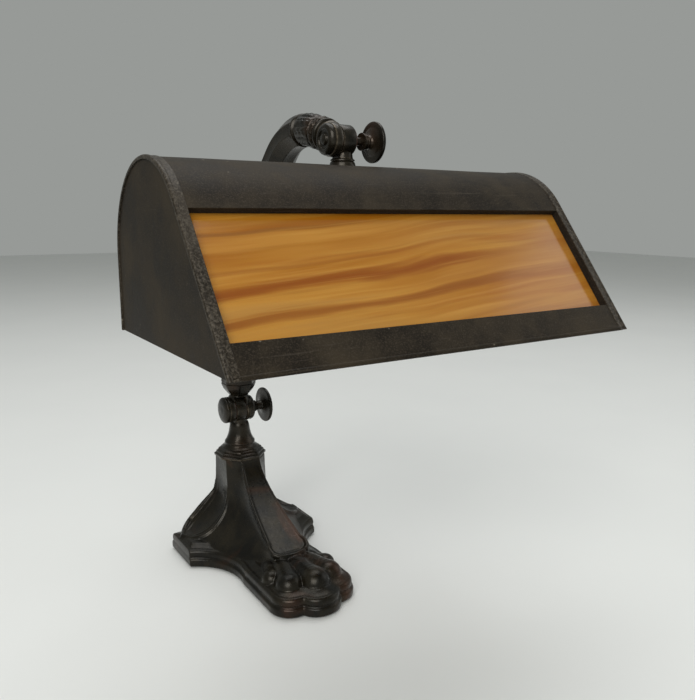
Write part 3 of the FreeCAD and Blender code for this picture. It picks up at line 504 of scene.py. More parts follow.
MATERIALS = {
    "cast_base": patina("cast_base", (0.0065, 0.0058, 0.0040), (0.020, 0.016, 0.009), (0.11, 0.092, 0.062),
                        (0.24, 0.38), (0.53, 0.64), 0.55),
    "bronze": patina("bronze", (0.0085, 0.0078, 0.0055), (0.024, 0.019, 0.012), (0.11, 0.088, 0.060),
                     (0.22, 0.36), (0.60, 0.90), 0.3),
    "dark_sheet": dark_sheet("dark_sheet", (0.009, 0.0065, 0.0038), (0.030, 0.0225, 0.0135)),
    "edge_strip": dark_sheet("edge_strip", (0.014, 0.011, 0.0075), (0.030, 0.024, 0.017), (0.34, 0.48), 0.38),
    "frame_dark": dark_sheet("frame_dark", (0.010, 0.008, 0.006), (0.020, 0.016, 0.012)),
    "slag_glass": slag_glass(),
    "felt": felt_material(),
    "bushing": plain("bushing", (0.012, 0.012, 0.012), (0.022, 0.021, 0.020), (0.45, 0.6)),
    "fibre": plain("fibre", (0.045, 0.018, 0.011), (0.080, 0.030, 0.018), (0.6, 0.8)),
    "raw_brass": plain("raw_brass", (0.36, 0.23, 0.08), (0.56, 0.40, 0.16), (0.28, 0.5), 0.95),
    "bracket_steel": plain("bracket_steel", (0.30, 0.29, 0.27), (0.46, 0.45, 0.42), (0.3, 0.48), 0.95),
    "liner_card": plain("liner_card", (0.30, 0.21, 0.12), (0.46, 0.34, 0.21), (0.8, 0.95)),
    "porcelain": plain("porcelain", (0.70, 0.66, 0.58), (0.82, 0.79, 0.72), (0.12, 0.22)),
    "black_key": plain("black_key", (0.010, 0.009, 0.008), (0.022, 0.018, 0.015), (0.2, 0.32)),
    "bulb_metal": plain("bulb_metal", (0.55, 0.54, 0.50), (0.72, 0.71, 0.66), (0.22, 0.4), 0.95),
    "bulb_glass": plain("bulb_glass", (0.86, 0.85, 0.82), (0.93, 0.92, 0.90), (0.25, 0.4), 0.0, 60, 0.05,
                        Transmission_Weight=0.35, Subsurface_Weight=0.3, Subsurface_Scale=0.01),
    "stem_glass": plain("stem_glass", (0.8, 0.84, 0.82), (0.88, 0.9, 0.89), (0.05, 0.1), 0.0, 60, 0.02,
                        Transmission_Weight=0.9),
    "filament": plain("filament", (0.20, 0.20, 0.20), (0.35, 0.35, 0.35), (0.3, 0.5), 1.0),
}


# ---- base casting -------------------------------------------------------------------------------
def arc_points(start, middle, end, count):
    """Return points on the plan arc through three points, without the last."""
    ax, ay = start
    bx, by = middle
    cx, cy = end
    double = 2 * (ax * (by - cy) + bx * (cy - ay) + cx * (ay - by))
    ux = ((ax * ax + ay * ay) * (by - cy) + (bx * bx + by * by) * (cy - ay)
          + (cx * cx + cy * cy) * (ay - by)) / double
    uy = ((ax * ax + ay * ay) * (cx - bx) + (bx * bx + by * by) * (ax - cx)
          + (cx * cx + cy * cy) * (bx - ax)) / double
    radius = math.hypot(ax - ux, ay - uy)
    first = math.atan2(ay - uy, ax - ux)
    sweep_end = (math.atan2(cy - uy, cx - ux) - first) % (2 * math.pi)
    sweep_middle = (math.atan2(by - uy, bx - ux) - first) % (2 * math.pi)
    if sweep_middle > sweep_end:
        sweep_end -= 2 * math.pi
    return [(ux + radius * math.cos(first + sweep_end * step / count),
             uy + radius * math.sin(first + sweep_end * step / count)) for step in range(count)]


def straight_points(start, end, count):
    """Return points on a straight line, without the last."""
    return [(start[0] + (end[0] - start[0]) * step / count, start[1] + (end[1] - start[1]) * step / count)
            for step in range(count)]


def plinth_outline():
    """Return the plan of the base, clockwise from the middle of the front, as (x, y, is foot end)."""
    cleft, toe_side, waist = (15.5, -134.6), (33.6, -117.0), (33.2, -74.0)
    foot_front = (CASTING_HIGH.x, -26.7)
    foot_back = (CASTING_HIGH.x, 14.7)
    heel = (15.0, CASTING_HIGH.y)
    tip = (0.0, CASTING_LOW.y)
    lobe = (11.0, tip[1] + 3.4)
    half = arc_points(tip, lobe, cleft, 10) + arc_points(cleft, (28.0, -130.5), toe_side, 14)
    half += straight_points(toe_side, waist, 12) + arc_points(waist, (38.6, -43.0), foot_front, 16)
    flat_from = len(half)
    half += straight_points(foot_front, foot_back, 10)
    flat_to = len(half)
    half += arc_points(foot_back, (34.0, 19.5), heel, 12) + straight_points(heel, (0.0, heel[1]), 6)
    right = [(x, y, flat_from <= index <= flat_to) for index, (x, y) in enumerate(half)]
    left = [(-x, y, flat) for x, y, flat in reversed(right[1:])]
    return right + [(0.0, heel[1], False)] + left


def inset_outline(outline, amount, flat_share=0.15):
    """Return the outline moved inwards; the flat foot ends move less but narrow by the same amount."""
    result = []
    count = len(outline)
    for index, (x, y, flat) in enumerate(outline):
        before = outline[index - 1]
        after = outline[(index + 1) % count]
        run = Vector((after[0] - before[0], after[1] - before[1])).normalized()
        if not flat:
            result.append((x - run.y * amount, y + run.x * amount))
        elif y > FOOT_BACK_Y + 0.1:
            result.append((x * (1 - amount / HEEL_HALF), y - amount * flat_share))
        else:
            middle = (FOOT_FRONT_Y + FOOT_BACK_Y) / 2
            narrow = 1 - amount / (FOOT_BACK_Y - middle)
            result.append((x - math.copysign(amount * flat_share, x), middle + (y - middle) * narrow))
    return result


def plinth_solid():
    """Return the moulded band round the paw and the feet."""
    outline = plinth_outline()
    levels = [(FELT_THICK, 0.6), (FELT_THICK + 0.5, 0.1), (5.8, 0.0), (6.8, 0.25), (7.4, 0.9), (7.9, 1.9),
              (8.6, 2.1), (9.2, 1.5), (10.4, 1.2), (12.4, 1.5), (13.6, 2.3), (PLINTH_TOP, 3.6)]
    rings = []
    for z, amount in levels:
        rings.append([Vector((x, y, z)) for x, y in inset_outline(outline, amount)])
    return loft(rings)


def column_fall(z):
    """Return how far down the column a height is, from 0 at its top to 1 at the plinth."""
    return min(1.0, max(0.0, (COLUMN_TOP - z) / (COLUMN_TOP - PLINTH_TOP)))


def column_row(z):
    """Return a level of the flared column: height, then reach and half facet at the side and the front."""
    fall = column_fall(z)
    front_fall = min(1.0, max(0.0, (COLUMN_TOP - z) / (COLUMN_TOP - CUFF_Z)))
    tip = max(0.0, (fall - LEAF_TIP_START) / (1 - LEAF_TIP_START))
    side_half = max(3.0, (11.0 + 7.5 * fall ** 1.5) * math.sqrt(1 - tip ** 2))
    side = COLUMN_SIDE + SIDE_FLARE * fall ** 5
    front = COLUMN_FRONT + FRONT_FLARE * front_fall ** 1.7
    return z, side, side_half, front, 8.0 + 7.0 * front_fall ** 1.5


def foot_lean(z):
    """Return how far the back edge of a side leaf lies outside its front edge."""
    return LEAF_LEAN * math.sin(math.pi * max(0.0, column_fall(z) - 0.5) * 2) ** 1.5


def column_rows():
    """Return the flared column's levels from its top down."""
    top = COLUMN_TOP + 0.4
    return [column_row(top + (COLUMN_LOW_Z - top) * step / COLUMN_LEVELS) for step in range(COLUMN_LEVELS
                                                                                            + 1)]


def bell_ring(row):
    """Return one section of the flared column: hollow facets over the feet, wide hollows between them."""
    z, side, side_half, front, front_half = row
    fall = column_fall(z)
    back = 20.5 + 13.0 * fall ** 3
    back_half = 8.0 + 6.0 * fall ** 3
    lean = foot_lean(z)
    leaf = 3.4 * math.sin(math.pi * fall ** 2)
    dip = 4.2 * math.sin(math.pi * fall ** 1.5)
    corners = [((back_half, back), (-back_half, back), leaf * 0.5, dip * 0.6),
               ((-side - lean, side_half), (-side, -side_half), leaf, dip),
               ((-front_half, -front), (front_half, -front), -1.1 * fall ** 3, dip),
               ((side, -side_half), (side + lean, side_half), leaf, dip * 0.6)]
    ring = []
    for index, (start, end, hollow, valley) in enumerate(corners):
        first, last = Vector(start), Vector(end)
        run = (last - first).normalized()
        for step in range(10):
            share = step / 10
            spot = first.lerp(last, share) - Vector((run.y, -run.x)) * (hollow * math.sin(math.pi * share))
            ring.append(Vector((spot.x, spot.y, z)))
        after = Vector(corners[(index + 1) % 4][0])
        run = (after - last).normalized()
        pull = (last + after) / 2 - Vector((run.y, -run.x)) * (2 * valley)
        for step in range(16):
            t = step / 16
            spot = last * (1 - t) ** 2 + pull * (2 * t * (1 - t)) + after * t * t
            ring.append(Vector((spot.x, spot.y, z)))
    return ring


def bell_solid():
    """Return the flared column."""
    return loft([bell_ring(row) for row in column_rows()])


def skirt_solid():
    """Return the shallow hollow apron that runs from the column out to the plinth's edge."""
    outline = plinth_outline()
    rings = []
    for z, amount in ((12.0, 4.4), (14.2, 4.4), (14.7, 5.8), (15.6, 8.0), (16.8, 10.2)):
        rings.append([Vector((x, y, z)) for x, y in inset_outline(outline, amount, flat_share=0.5)])
    return loft(rings)


def rims():
    """Return the double rims of the side leaves, and the front leaf's rim, which ends in a rolled cuff."""
    beads = []
    rows = column_rows()
    leaf = [row for row in rows if 15.0 < row[0] < 56.0]
    edge, inner = (1.0, 1.9, 0.4), (0.66, 1.0, 1.7)
    for side, (width, thick, sink) in ((-1, edge), (1, edge), (-1, inner), (1, inner)):
        down = [Vector((side * (row[1] - sink), -row[2] * width + 0.4, row[0])) for row in leaf]
        path = down + [Vector((side * (54.1 - 4.0 * sink), 0, 15.2))]
        for point in reversed(down):
            path.append(Vector((point.x + side * width * foot_lean(point.z), -point.y, point.z)))
        middle = len(down)
        beads.append(tube_along(path, [0.4 + thick * (1 - abs(index - middle) / middle) ** 0.6
                                       for index in range(len(path))]))
    front = [row for row in rows if 30.5 < row[0] < 76.5]
    down = [Vector((-row[4] + 0.4, -row[3] + 0.6, row[0])) for row in front]
    for x, y, z in smooth_profile([(-15.3, -82.0, 29.6), (-14.2, -87.8, 26.6), (-8.6, -91.2, 24.8),
                                   (0, -92.2, 24.2)], 5):
        down.append(Vector((x, y, z)))
    path = down + [Vector((-point.x, point.y, point.z)) for point in reversed(down[:-1])]
    middle = len(down) - 1
    beads.append(tube_along(path, [1.05 + 1.55 * max(0.0, 1 - abs(index - middle) / 17) ** 0.8
                                   for index in range(len(path))]))
    return beads


def ball(centre, radius, squash=(1, 1, 1)):
    """Return an ellipsoid."""
    rings = []
    for level in range(1, 20):
        polar = math.pi * level / 20
        ring = []
        for step in range(28):
            angle = 2 * math.pi * step / 28
            point = Vector((math.sin(polar) * math.cos(angle) * squash[0],
                            math.sin(polar) * math.sin(angle) * squash[1], -math.cos(polar) * squash[2]))
            ring.append(centre + point * radius)
        rings.append(ring)
    return loft(rings)


def toe_solids():
    """Return the five toes, each a chain of balls from the cuff to the tip, over the mound of the paw."""
    chains = [[(0, -88, 14.5, 9.5), (0.3, -100, 17.4, 8.9), (0.8, -109, 16.6, 9.3),
               (1.4, -121.4, 16.0, 11.2)]]
    for side in (-1, 1):
        chains.append([(side * 8.0, -86, 13.5, 9.0), (side * 11.2, -96, 17.0, 7.9),
                       (side * 13.4, -104, 16.4, 8.5),
                       (side * 16.6, -115.0, 15.6, 10.0)])
        chains.append([(side * 12.0, -80, 12, 9.0), (side * 17.0, -87, 15.6, 6.4),
                       (side * 19.4, -93, 15.2, 6.0),
                       (side * 22.8, -100.0, 15.4, 7.3)])
    solids = []
    for chain in chains:
        for x, y, z, radius in smooth_profile(chain, 3):
            solids.append(ball(Vector((x, y, z)), radius, (1, 1, 0.96)))
    solids.append(ball(Vector((0, -92, 11)), 24.0, (1.0, 0.9, 0.38)))
    return solids


def paw_base():
    """Model the casting as one skin over all its masses."""
    verts = []
    faces = []
    for part_verts, part_faces in [plinth_solid(), skirt_solid(), bell_solid()] + rims() + toe_solids():
        start = len(verts)
        verts += part_verts
        faces += [tuple(index + start for index in face) for face in part_faces]
    mesh = bpy.data.meshes.new("paw")
    mesh.from_pydata([tuple(vert * MM) for vert in verts], [], faces)
    work = bmesh.new()
    work.from_mesh(mesh)
    bmesh.ops.recalc_face_normals(work, faces=work.faces)
    work.to_mesh(mesh)
    work.free()
    item = bpy.data.objects.new("paw", mesh)
    bpy.context.scene.collection.objects.link(item)
    skin = item.modifiers.new("skin", "REMESH")
    skin.mode = "VOXEL"
    skin.voxel_size = 0.62 * MM
    soften = item.modifiers.new("soften", "SMOOTH")
    soften.factor = 0.5
    soften.iterations = 3
    apply_modifiers(item)
    cutter = raw_object("inlet", *lathe([(0, 5.0), (20, 5.0)], Vector((0, 24.0, 8.2)), Y, 48))
    combined(item, [cutter], "DIFFERENCE")
    finish_piece(item, "base_casting_form", "base", ["base_casting"], "cast_base", 50)


def felt():
    """Lay the felt under the casting."""
    outline = plinth_outline()
    rings = []
    for z, amount in ((0.0, 2.9), (0.25, 2.6), (FELT_THICK - 0.1, 2.6), (FELT_THICK, 3.0)):
        ring = []
        for x, y in inset_outline(outline, amount, flat_share=1.0):
            fuzz = 0.18 * noise.noise(Vector((x, y, z)) * 0.9)
            ring.append(Vector((x * (1 + fuzz / 50), y * (1 + fuzz / 50), z)))
        rings.append(ring)
    item = raw_object("felt", *loft(rings))
    finish_piece(item, "felt_form", "base", ["felt_pad"], "felt")


# ---- column neck and hinges ---------------------------------------------------------------------
def hinge_disc(pivot, low_x, high_x, radius, rings=(), round_edge=0.7):
    """Return a round knuckle along X with turned grooves at the given places."""
    profile = [(0, 0.001), (0, radius - round_edge), (round_edge * 0.3, radius - round_edge * 0.3),
               (round_edge, radius)]
    width = high_x - low_x
    for place in rings:
        profile += [(place - 0.35, radius), (place, radius - 0.45), (place + 0.35, radius)]
    profile += [(width - round_edge, radius), (width - round_edge * 0.3, radius - round_edge * 0.3),
                (width, radius - round_edge), (width, 0.001)]
    return raw_object("disc", *lathe(profile, Vector((low_x, pivot.y, pivot.z)), X, 72))


def column_neck():
    """Model the stepped octagonal collar, the round ogee and the tongue."""
    z = COLUMN_TOP
    collar = raw_object("collar", *octagon_stack(
        [(z, 18.4), (z + 0.5, 19.8), (z + 1.9, 19.9), (z + 2.3, 19.2), (z + 2.7, 18.2), (z + 3.1, 18.4),
         (z + 4.1, 18.2), (z + 4.5, 17.4), (z + 4.9, 16.6), (z + 5.3, 16.8), (z + 6.2, 16.4), (z + 7.0, 15.0),
         (z + 7.6, 12.0)], corner=0.35))
    ogee = smooth_profile([(6.0, 15.0), (7.2, 14.6), (8.6, 13.0), (10.2, 12.1), (11.2, 12.5), (12.4, 12.2),
                           (14.5, 10.9), (18.0, 9.5), (22.0, 8.6), (26.0, 8.0), (28.2, 7.2)], 4)
    neck = raw_object("neck", *lathe(ogee, Vector((0, 0, z)), Z, 96))
    low_x = box_mm("lower_friction_washers")[0].x
    high_x = box_mm("lower_friction_washers")[1].x
    tongue = hinge_disc(LOWER, low_x + 0.5, high_x - 0.5, 10.75)
    web = raw_object("web", *lathe([(0, 7.3), (3.2, 7.0), (11, 7.0)], Vector((0, 0, z + 27.4)), Z, 72))
    slab = raw_object("slab",
                      *box_solid(Vector((low_x + 0.5, -12, z + 20)), Vector((high_x - 0.5, 12, LOWER.z + 5))))
    combined(web, [slab], "INTERSECT")
    item = combined(collar, [neck, web, tongue])
    bore = raw_object("bore", *lathe([(0, 3.05), (40, 3.05)], LOWER - X * 20, X, 48))
    combined(item, [bore], "DIFFERENCE")
    bevelled(item, 0.25)
    finish_piece(item, "column_neck_form", "base", ["column_neck"], "bronze")


def fork(pivot, away, ears, gap, block, root, hole):
    """Return ears and a rounded block with a gap for the tongue, in one solid with the root beyond them."""
    solids = [hinge_disc(pivot, *ear) for ear in ears]
    solids.append(raw_object("block", *lathe(block, pivot, away, 72)))
    item = combined(root, solids)
    low_x, high_x, depth = gap
    reach = 30.0
    other = X.cross(away) * reach
    rings = []
    for along in (-reach, depth):
        centre = pivot + away * along
        rings.append([centre + X * low_x - other, centre + X * high_x - other, centre + X * high_x + other,
                      centre + X * low_x + other])
    slit = raw_object("slit", *loft(rings))
    bore = raw_object("bore", *lathe([(0, hole), (2 * reach, hole)], pivot - X * reach, X, 48))
    combined(item, [slit, bore], "DIFFERENCE")
    return bevelled(item, 0.3)


def lower_fork():
    """Model the facetted ferrule and the two ears of the lower hinge."""
    shoulder = LOWER.z + 11.25
    root = raw_object("ferrule", *octagon_stack(
        [(shoulder, 6.4), (shoulder + 0.8, 7.2), (shoulder + 3.0, 8.9), (shoulder + 6.0, 11.2),
         (shoulder + 9.0, 12.6), (FERRULE_TOP - 1.4, 13.2), (FERRULE_TOP - 0.9, 12.7), (FERRULE_TOP, 12.9)],
        corner=0.4))
    washers = box_mm("lower_friction_washers")
    gap = (washers[0].x - 0.03, washers[1].x + 0.03, 11.2)
    ears = ((LOWER_FORK_LOW.x + 1.1, gap[0], 10.75, (), 1.4), (gap[1], 10.7, 10.4, (2.6, 5.2), 2.2))
    block = smooth_profile([(2.0, 8.8), (5.0, 9.6), (8.0, 9.5), (10.5, 8.4), (12.2, 7.2), (13.4, 6.9)], 3)
    item = fork(LOWER, Z, ears, gap, block, root, 3.05)
    finish_piece(item, "lower_fork_form", "arm", ["lower_fork"], "bronze")


def arm_station(distance):
    """Return the arm's centre and its direction, at a distance from the upper hinge axis."""
    centre = LOW_ARC + Vector((0, math.cos(ARC_CHANGE), math.sin(ARC_CHANGE))) * (LOW_ARC_RADIUS
                                                                                  - TOP_ARC_RADIUS)
    top_end = math.pi / 2 + END_SLOPE
    straight = (UPPER - centre - Vector((0, math.cos(top_end), math.sin(top_end))) * TOP_ARC_RADIUS).length
    top_length = TOP_ARC_RADIUS * (top_end - ARC_CHANGE)
    if distance <= straight:
        return UPPER + ARM_OUT * distance, ARM_OUT
    radius = TOP_ARC_RADIUS
    angle = top_end - (distance - straight) / TOP_ARC_RADIUS
    if distance > straight + top_length:
        radius = LOW_ARC_RADIUS
        centre = LOW_ARC
        angle = ARC_CHANGE - (distance - straight - top_length) / LOW_ARC_RADIUS
    outward = Vector((0, math.cos(angle), math.sin(angle)))
    return centre + outward * radius, Vector((0, math.sin(angle), -math.cos(angle)))


def arm_tube():
    """Model the curved, tapering octagonal arm with slightly hollow flats."""
    length = COLLAR_END
    while arm_station(length)[0].z > FERRULE_TOP:
        length += 0.1
    rings = []
    for step in range(121):
        share = step / 120
        centre, direction = arm_station(COLLAR_END + (length - COLLAR_END) * share)
        half = 9.85 + (13.3 - 9.85) * share
        rings.append(octagon_ring(centre, X, direction.cross(X), half, 0.5, 0.25))
    item = raw_object("arm", *loft(rings))
    bevelled(item, 0.3)
    finish_piece(item, "arm_tube_form", "arm", ["arm_tube"], "bronze", 25)


def arm_collar():
    """Model the ornament beside the upper hinge: beads, and leaves that lap over the arm."""
    profile = smooth_profile([(0.0, 7.4), (0.6, 9.3), (1.6, 10.1), (2.8, 9.8), (3.4, 8.3), (4.2, 8.3),
                              (5.0, 9.9), (6.4, 10.7), (7.8, 10.3), (8.6, 8.7), (9.6, 8.6), (10.8, 10.0),
                              (14.0, 10.4), (19.0, 10.45), (24.0, 10.3), (26.4, 10.0), (27.4, 8.6),
                              (28.4, 8.8), (29.6, 10.4), (30.8, 10.45), (31.8, 9.8)], 4)
    rings = []
    for offset, radius in profile:
        centre, direction = arm_station(COLLAR_START + offset)
        side, other = X, direction.cross(X)
        along = min(1.0, max(0.0, (offset - 9.6) / 17.0))
        leaf = math.sin(math.pi * along) ** 0.6 if 0 < along < 1 else 0.0
        ring = []
        for step in range(144):
            angle = 2 * math.pi * step / 144
            lobe = abs(math.cos(4 * angle + 1.1 * along))
            vein = max(0.0, 1 - abs(math.sin(4 * angle + 1.1 * along)) * 4.5)
            ripple = 0.22 * math.sin(20 * along + 4 * abs(math.sin(4 * angle)))
            swell = radius + leaf * (1.5 * lobe ** 0.5 - 1.35 - 0.6 * vein + ripple * lobe)
            beads = 0.35 * max(0.0, math.cos(12 * angle)) if 5.0 <= offset <= 7.8 else 0.0
            swell += beads - (0.35 if 5.0 <= offset <= 7.8 else 0.0)
            ring.append(centre + side * (swell * math.cos(angle)) + other * (swell * math.sin(angle)))
        rings.append(ring)
    item = raw_object("collar", *loft(rings))
    finish_piece(item, "arm_collar_form", "arm", ["arm_collar"], "bronze", 50)


def upper_fork():
    """Model the fork at the end of the arm."""
    start = 9.5
    root = raw_object("root", *lathe(
        [(0, 5.6), (0.6, 7.0), (3.0, 7.7), (5.0, 8.0), (6.2, 8.9), (7.4, 9.2), (8.4, 8.8), (10.7, 8.4)],
        UPPER + ARM_OUT * start, ARM_OUT, 72))
    washers = box_mm("upper_friction_washers")
    gap = (washers[0].x - 0.03, washers[1].x + 0.03, 10.0)
    ears = ((-12.4, gap[0], 9.85, (), 1.4), (gap[1], 11.0, 8.2, (1.6, 3.0), 1.8))
    block = smooth_profile([(1.5, 6.4), (4.0, 8.0), (7.0, 8.3), (9.5, 7.8), (11.8, 7.0)], 3)
    item = fork(UPPER, ARM_OUT, ears, gap, block, root, 2.55)
    finish_piece(item, "upper_fork_form", "arm", ["upper_fork"], "bronze")


def cap_nuts():
    """Model the round nuts on the hinges' left ears: the lower one domed, the upper one dished."""
    domed = [(0.0, 1.0), (1.1, 1.0), (1.9, 0.97), (2.7, 0.88), (3.3, 0.72), (3.7, 0.50), (3.75, 0.36),
             (3.95, 0.22), (4.1, 0.0001)]
    dished = [(0.0, 1.0), (1.2, 1.0), (2.4, 0.93), (3.2, 0.82), (3.45, 0.72), (3.1, 0.62), (2.3, 0.54),
              (2.0, 0.44), (2.4, 0.38), (3.3, 0.33), (3.8, 0.20), (4.1, 0.0001)]
    for name, pivot, hole, face, swell in (("lower_cap_nut", LOWER, 3.05, domed, 1.3),
                                           ("upper_cap_nut", UPPER, 2.55, dished, 0.2)):
        low, high = box_mm(name)
        radius = (high.z - low.z) / 2 + swell
        outer = smooth_profile([(along, share * radius) for along, share in face], 3)
        profile = [(0.0, hole)] + outer + [(1.95, 0.001), (1.95, hole), (0.0, hole)]
        item = raw_object(name, *lathe(profile, Vector((high.x, pivot.y, pivot.z)), -X, 96))
        finish_piece(item, name + "_form", "arm", [name], "bronze")


def thumbscrews():
    """Model the thumbscrews: shaft, ringed neck, trumpet and thin dished disc."""
    for name, pivot, shaft, neck, flange, head_x in (("lower_thumbscrew", LOWER, 3.0, 4.5, 5.6, 10.8),
                                                     ("upper_thumbscrew", UPPER, 2.5, 4.3, 5.2, 11.1)):
        low, high = box_mm(name)
        radius = (high.z - low.z) / 2
        head = head_x - low.x
        disc = high.x - low.x - 1.5
        turned = [(head, flange), (head + 0.7, flange), (head + 1.0, neck - 0.6), (head + 1.5, neck + 0.2),
                  (head + 2.1, neck + 0.3), (head + 2.6, neck - 0.5), (head + 3.1, neck + 0.1),
                  (head + 3.7, neck + 0.1), (head + 4.1, neck - 0.7), (disc - 3.8, neck - 0.6),
                  (disc - 2.6, neck + 0.6), (disc - 1.7, neck + 3.4), (disc - 1.3, radius * 0.72),
                  (disc - 1.1, radius - 0.9), (disc - 0.7, radius - 0.1), (disc, radius),
                  (disc + 0.7, radius - 0.1),
                  (disc + 1.2, radius - 0.7), (disc + 0.7, radius - 1.7), (disc + 0.3, radius * 0.6),
                  (disc + 0.2, 3.6), (disc + 0.9, 2.6), (disc + 1.4, 1.2), (disc + 1.5, 0.001)]
        profile = [(0, 0.001), (0, shaft), (head, shaft)] + smooth_profile(turned, 3)
        item = raw_object(name, *lathe(profile, Vector((low.x, pivot.y, pivot.z)), X, 96))
        finish_piece(item, name + "_form", name, [name], "bronze")


def shade_stem():
    """Model the upper tongue, its round stem and the flared seat on the shade."""
    washers = box_mm("upper_friction_washers")
    low_x, high_x = washers[0].x + 0.5, washers[1].x - 0.5
    top = UPPER.z - 10.35
    foot_z = top - 1.65
    place = Vector((TONGUE_X, UPPER.y, foot_z))
    foot = raw_object("foot",
                      *lathe([(0, 7.0), (0.3, 7.3), (0.9, 7.2), (1.4, 6.6), (1.65, 6.0)], place, Z, 72))
    stalk = raw_object("stalk", *lathe([(1.2, 6.6), (2.4, 6.1), (5.0, 5.8), (9.0, 5.8)], place, Z, 72))
    slab = raw_object("slab",
                      *box_solid(Vector((low_x, UPPER.y - 12, foot_z)),
                                 Vector((high_x, UPPER.y + 12, UPPER.z))))
    combined(stalk, [slab], "INTERSECT")
    tongue = hinge_disc(UPPER, low_x, high_x, 9.0)
    item = combined(foot, [stalk, tongue])
    bore = raw_object("bore", *lathe([(0, 2.55), (40, 2.55)], UPPER - X * 20, X, 48))
    combined(item, [bore], "DIFFERENCE")
    bevelled(item, 0.3)
    finish_piece(item, "shade_stem_form", "shade", ["shade_stem"], "bronze")
    bottom = SHADE_CENTRE.z + 44.0
    rise = foot_z - 0.1 - bottom
    seat = raw_object("seat", *lathe([(0, 8.3), (rise - 4.6, 8.2), (rise - 2.6, 7.9), (rise - 1.0, 7.5),
                                      (rise - 0.4, 7.2), (rise, 6.5)], Vector((TONGUE_X, UPPER.y, bottom)),
                                      Z, 96))
    trough = raw_object("trough",
                        *lathe([(0, SHADE_RADIUS), (60, SHADE_RADIUS)], SHADE_CENTRE - X * 30, X, 256))
    combined(seat, [trough], "DIFFERENCE")
    bevelled(seat, 0.25)
    finish_piece(seat, "stem_seat_form", "shade", ["stem_seat"], "bronze")


# ---- shade --------------------------------------------------------------------------------------
def shade_path(outset):
    """Return the section's outline as (point, distance up the front or None), front to back."""
    radius = SHADE_RADIUS + outset
    front_high = SHADE_CENTRE - INWARD * radius
    run = (front_high.z - SHADE_BOTTOM) / UP_FRONT.z
    marks = [0.0, WINDOW_LOW * 0.5, WINDOW_LOW]
    marks += [WINDOW_LOW + (WINDOW_HIGH - WINDOW_LOW) * step / 8 for step in range(1, 9)]
    front_run = ((SHADE_CENTRE - INWARD * SHADE_RADIUS).z - SHADE_BOTTOM) / UP_FRONT.z
    points = [(front_high - UP_FRONT * (front_run - mark) if mark else front_high - UP_FRONT * run, mark)
              for mark in marks]
    start = math.pi / 2 + FRONT_SLOPE
    for step in range(49):
        angle = start * (1 - step / 48)
        points.append((SHADE_CENTRE + Vector((0, math.cos(angle), math.sin(angle))) * radius, None))
    back = SHADE_CENTRE + Y * radius
    for step in range(1, 7):
        share = step / 6
        points.append((Vector((0, back.y, back.z + (SHADE_BOTTOM - back.z) * share)), None))
    return points


def sheet_wobble(point):
    """Return the small unevenness of the hand-worked sheet, fading out at its ends."""
    fade = max(0.0, 1 - (abs(point.x) / (SHADE_HALF - 2)) ** 8)
    return 0.22 * fade * noise.noise(point * 0.022 + Vector((3.7, 0, 1.3)))


def shade_shell():
    """Model the folded sheet with its window and rolled hems."""
    outer = shade_path(0.0)
    inner = shade_path(-SHEET)
    half = SHELL_HIGH.x
    stations = [-half, -WINDOW_HALF]
    stations += [-WINDOW_HALF + 2 * WINDOW_HALF * step / 30 for step in range(1, 31)] + [half]
    rows = len(outer)
    verts = []
    for x in stations:
        for path in (outer, inner):
            for index, (point, _) in enumerate(path):
                here = Vector((x, point.y, point.z))
                out = (outer[index][0] - inner[index][0]).normalized()
                verts.append(here + out * (sheet_wobble(here) - 0.15))

    def solid_cell(column, row):
        if not (0 <= column < len(stations) - 1 and 0 <= row < rows - 1):
            return False
        in_window = 1 <= column < len(stations) - 2
        low, high = outer[row][1], outer[row + 1][1]
        return not (in_window and low is not None and high is not None and low >= WINDOW_LOW)

    def vert(column, row, layer):
        return (column * 2 + layer) * rows + row

    faces = []
    for column in range(len(stations) - 1):
        for row in range(rows - 1):
            if not solid_cell(column, row):
                continue
            a, b = (column, row), (column + 1, row)
            c, d = (column + 1, row + 1), (column, row + 1)
            faces.append((vert(*a, 0), vert(*b, 0), vert(*c, 0), vert(*d, 0)))
            faces.append((vert(*d, 1), vert(*c, 1), vert(*b, 1), vert(*a, 1)))
            for first, second, other in ((a, b, (column, row - 1)), (b, c, (column + 1, row)),
                                         (c, d, (column, row + 1)), (d, a, (column - 1, row))):
                if not solid_cell(*other):
                    faces.append((vert(*second, 0), vert(*first, 0), vert(*first, 1), vert(*second, 1)))
    for start, out in ((outer[0][0] + UP_FRONT * 1.6 + INWARD * 0.9, 1.25),
                       (outer[-1][0] + Z * 1.3 - Y * 1.15, 1.15)):
        track = [Vector((x, start.y, start.z)) for x in stations]
        more_verts, more_faces = tube_along(track, [out] * len(track), 20)
        faces += [tuple(index + len(verts) for index in face) for face in more_faces]
        verts += more_verts
    item = raw_object("shell", verts, faces)
    bevelled(item, 0.15)
    finish_piece(item, "shade_shell_form", "shade", ["shade_shell"], "dark_sheet", 40)


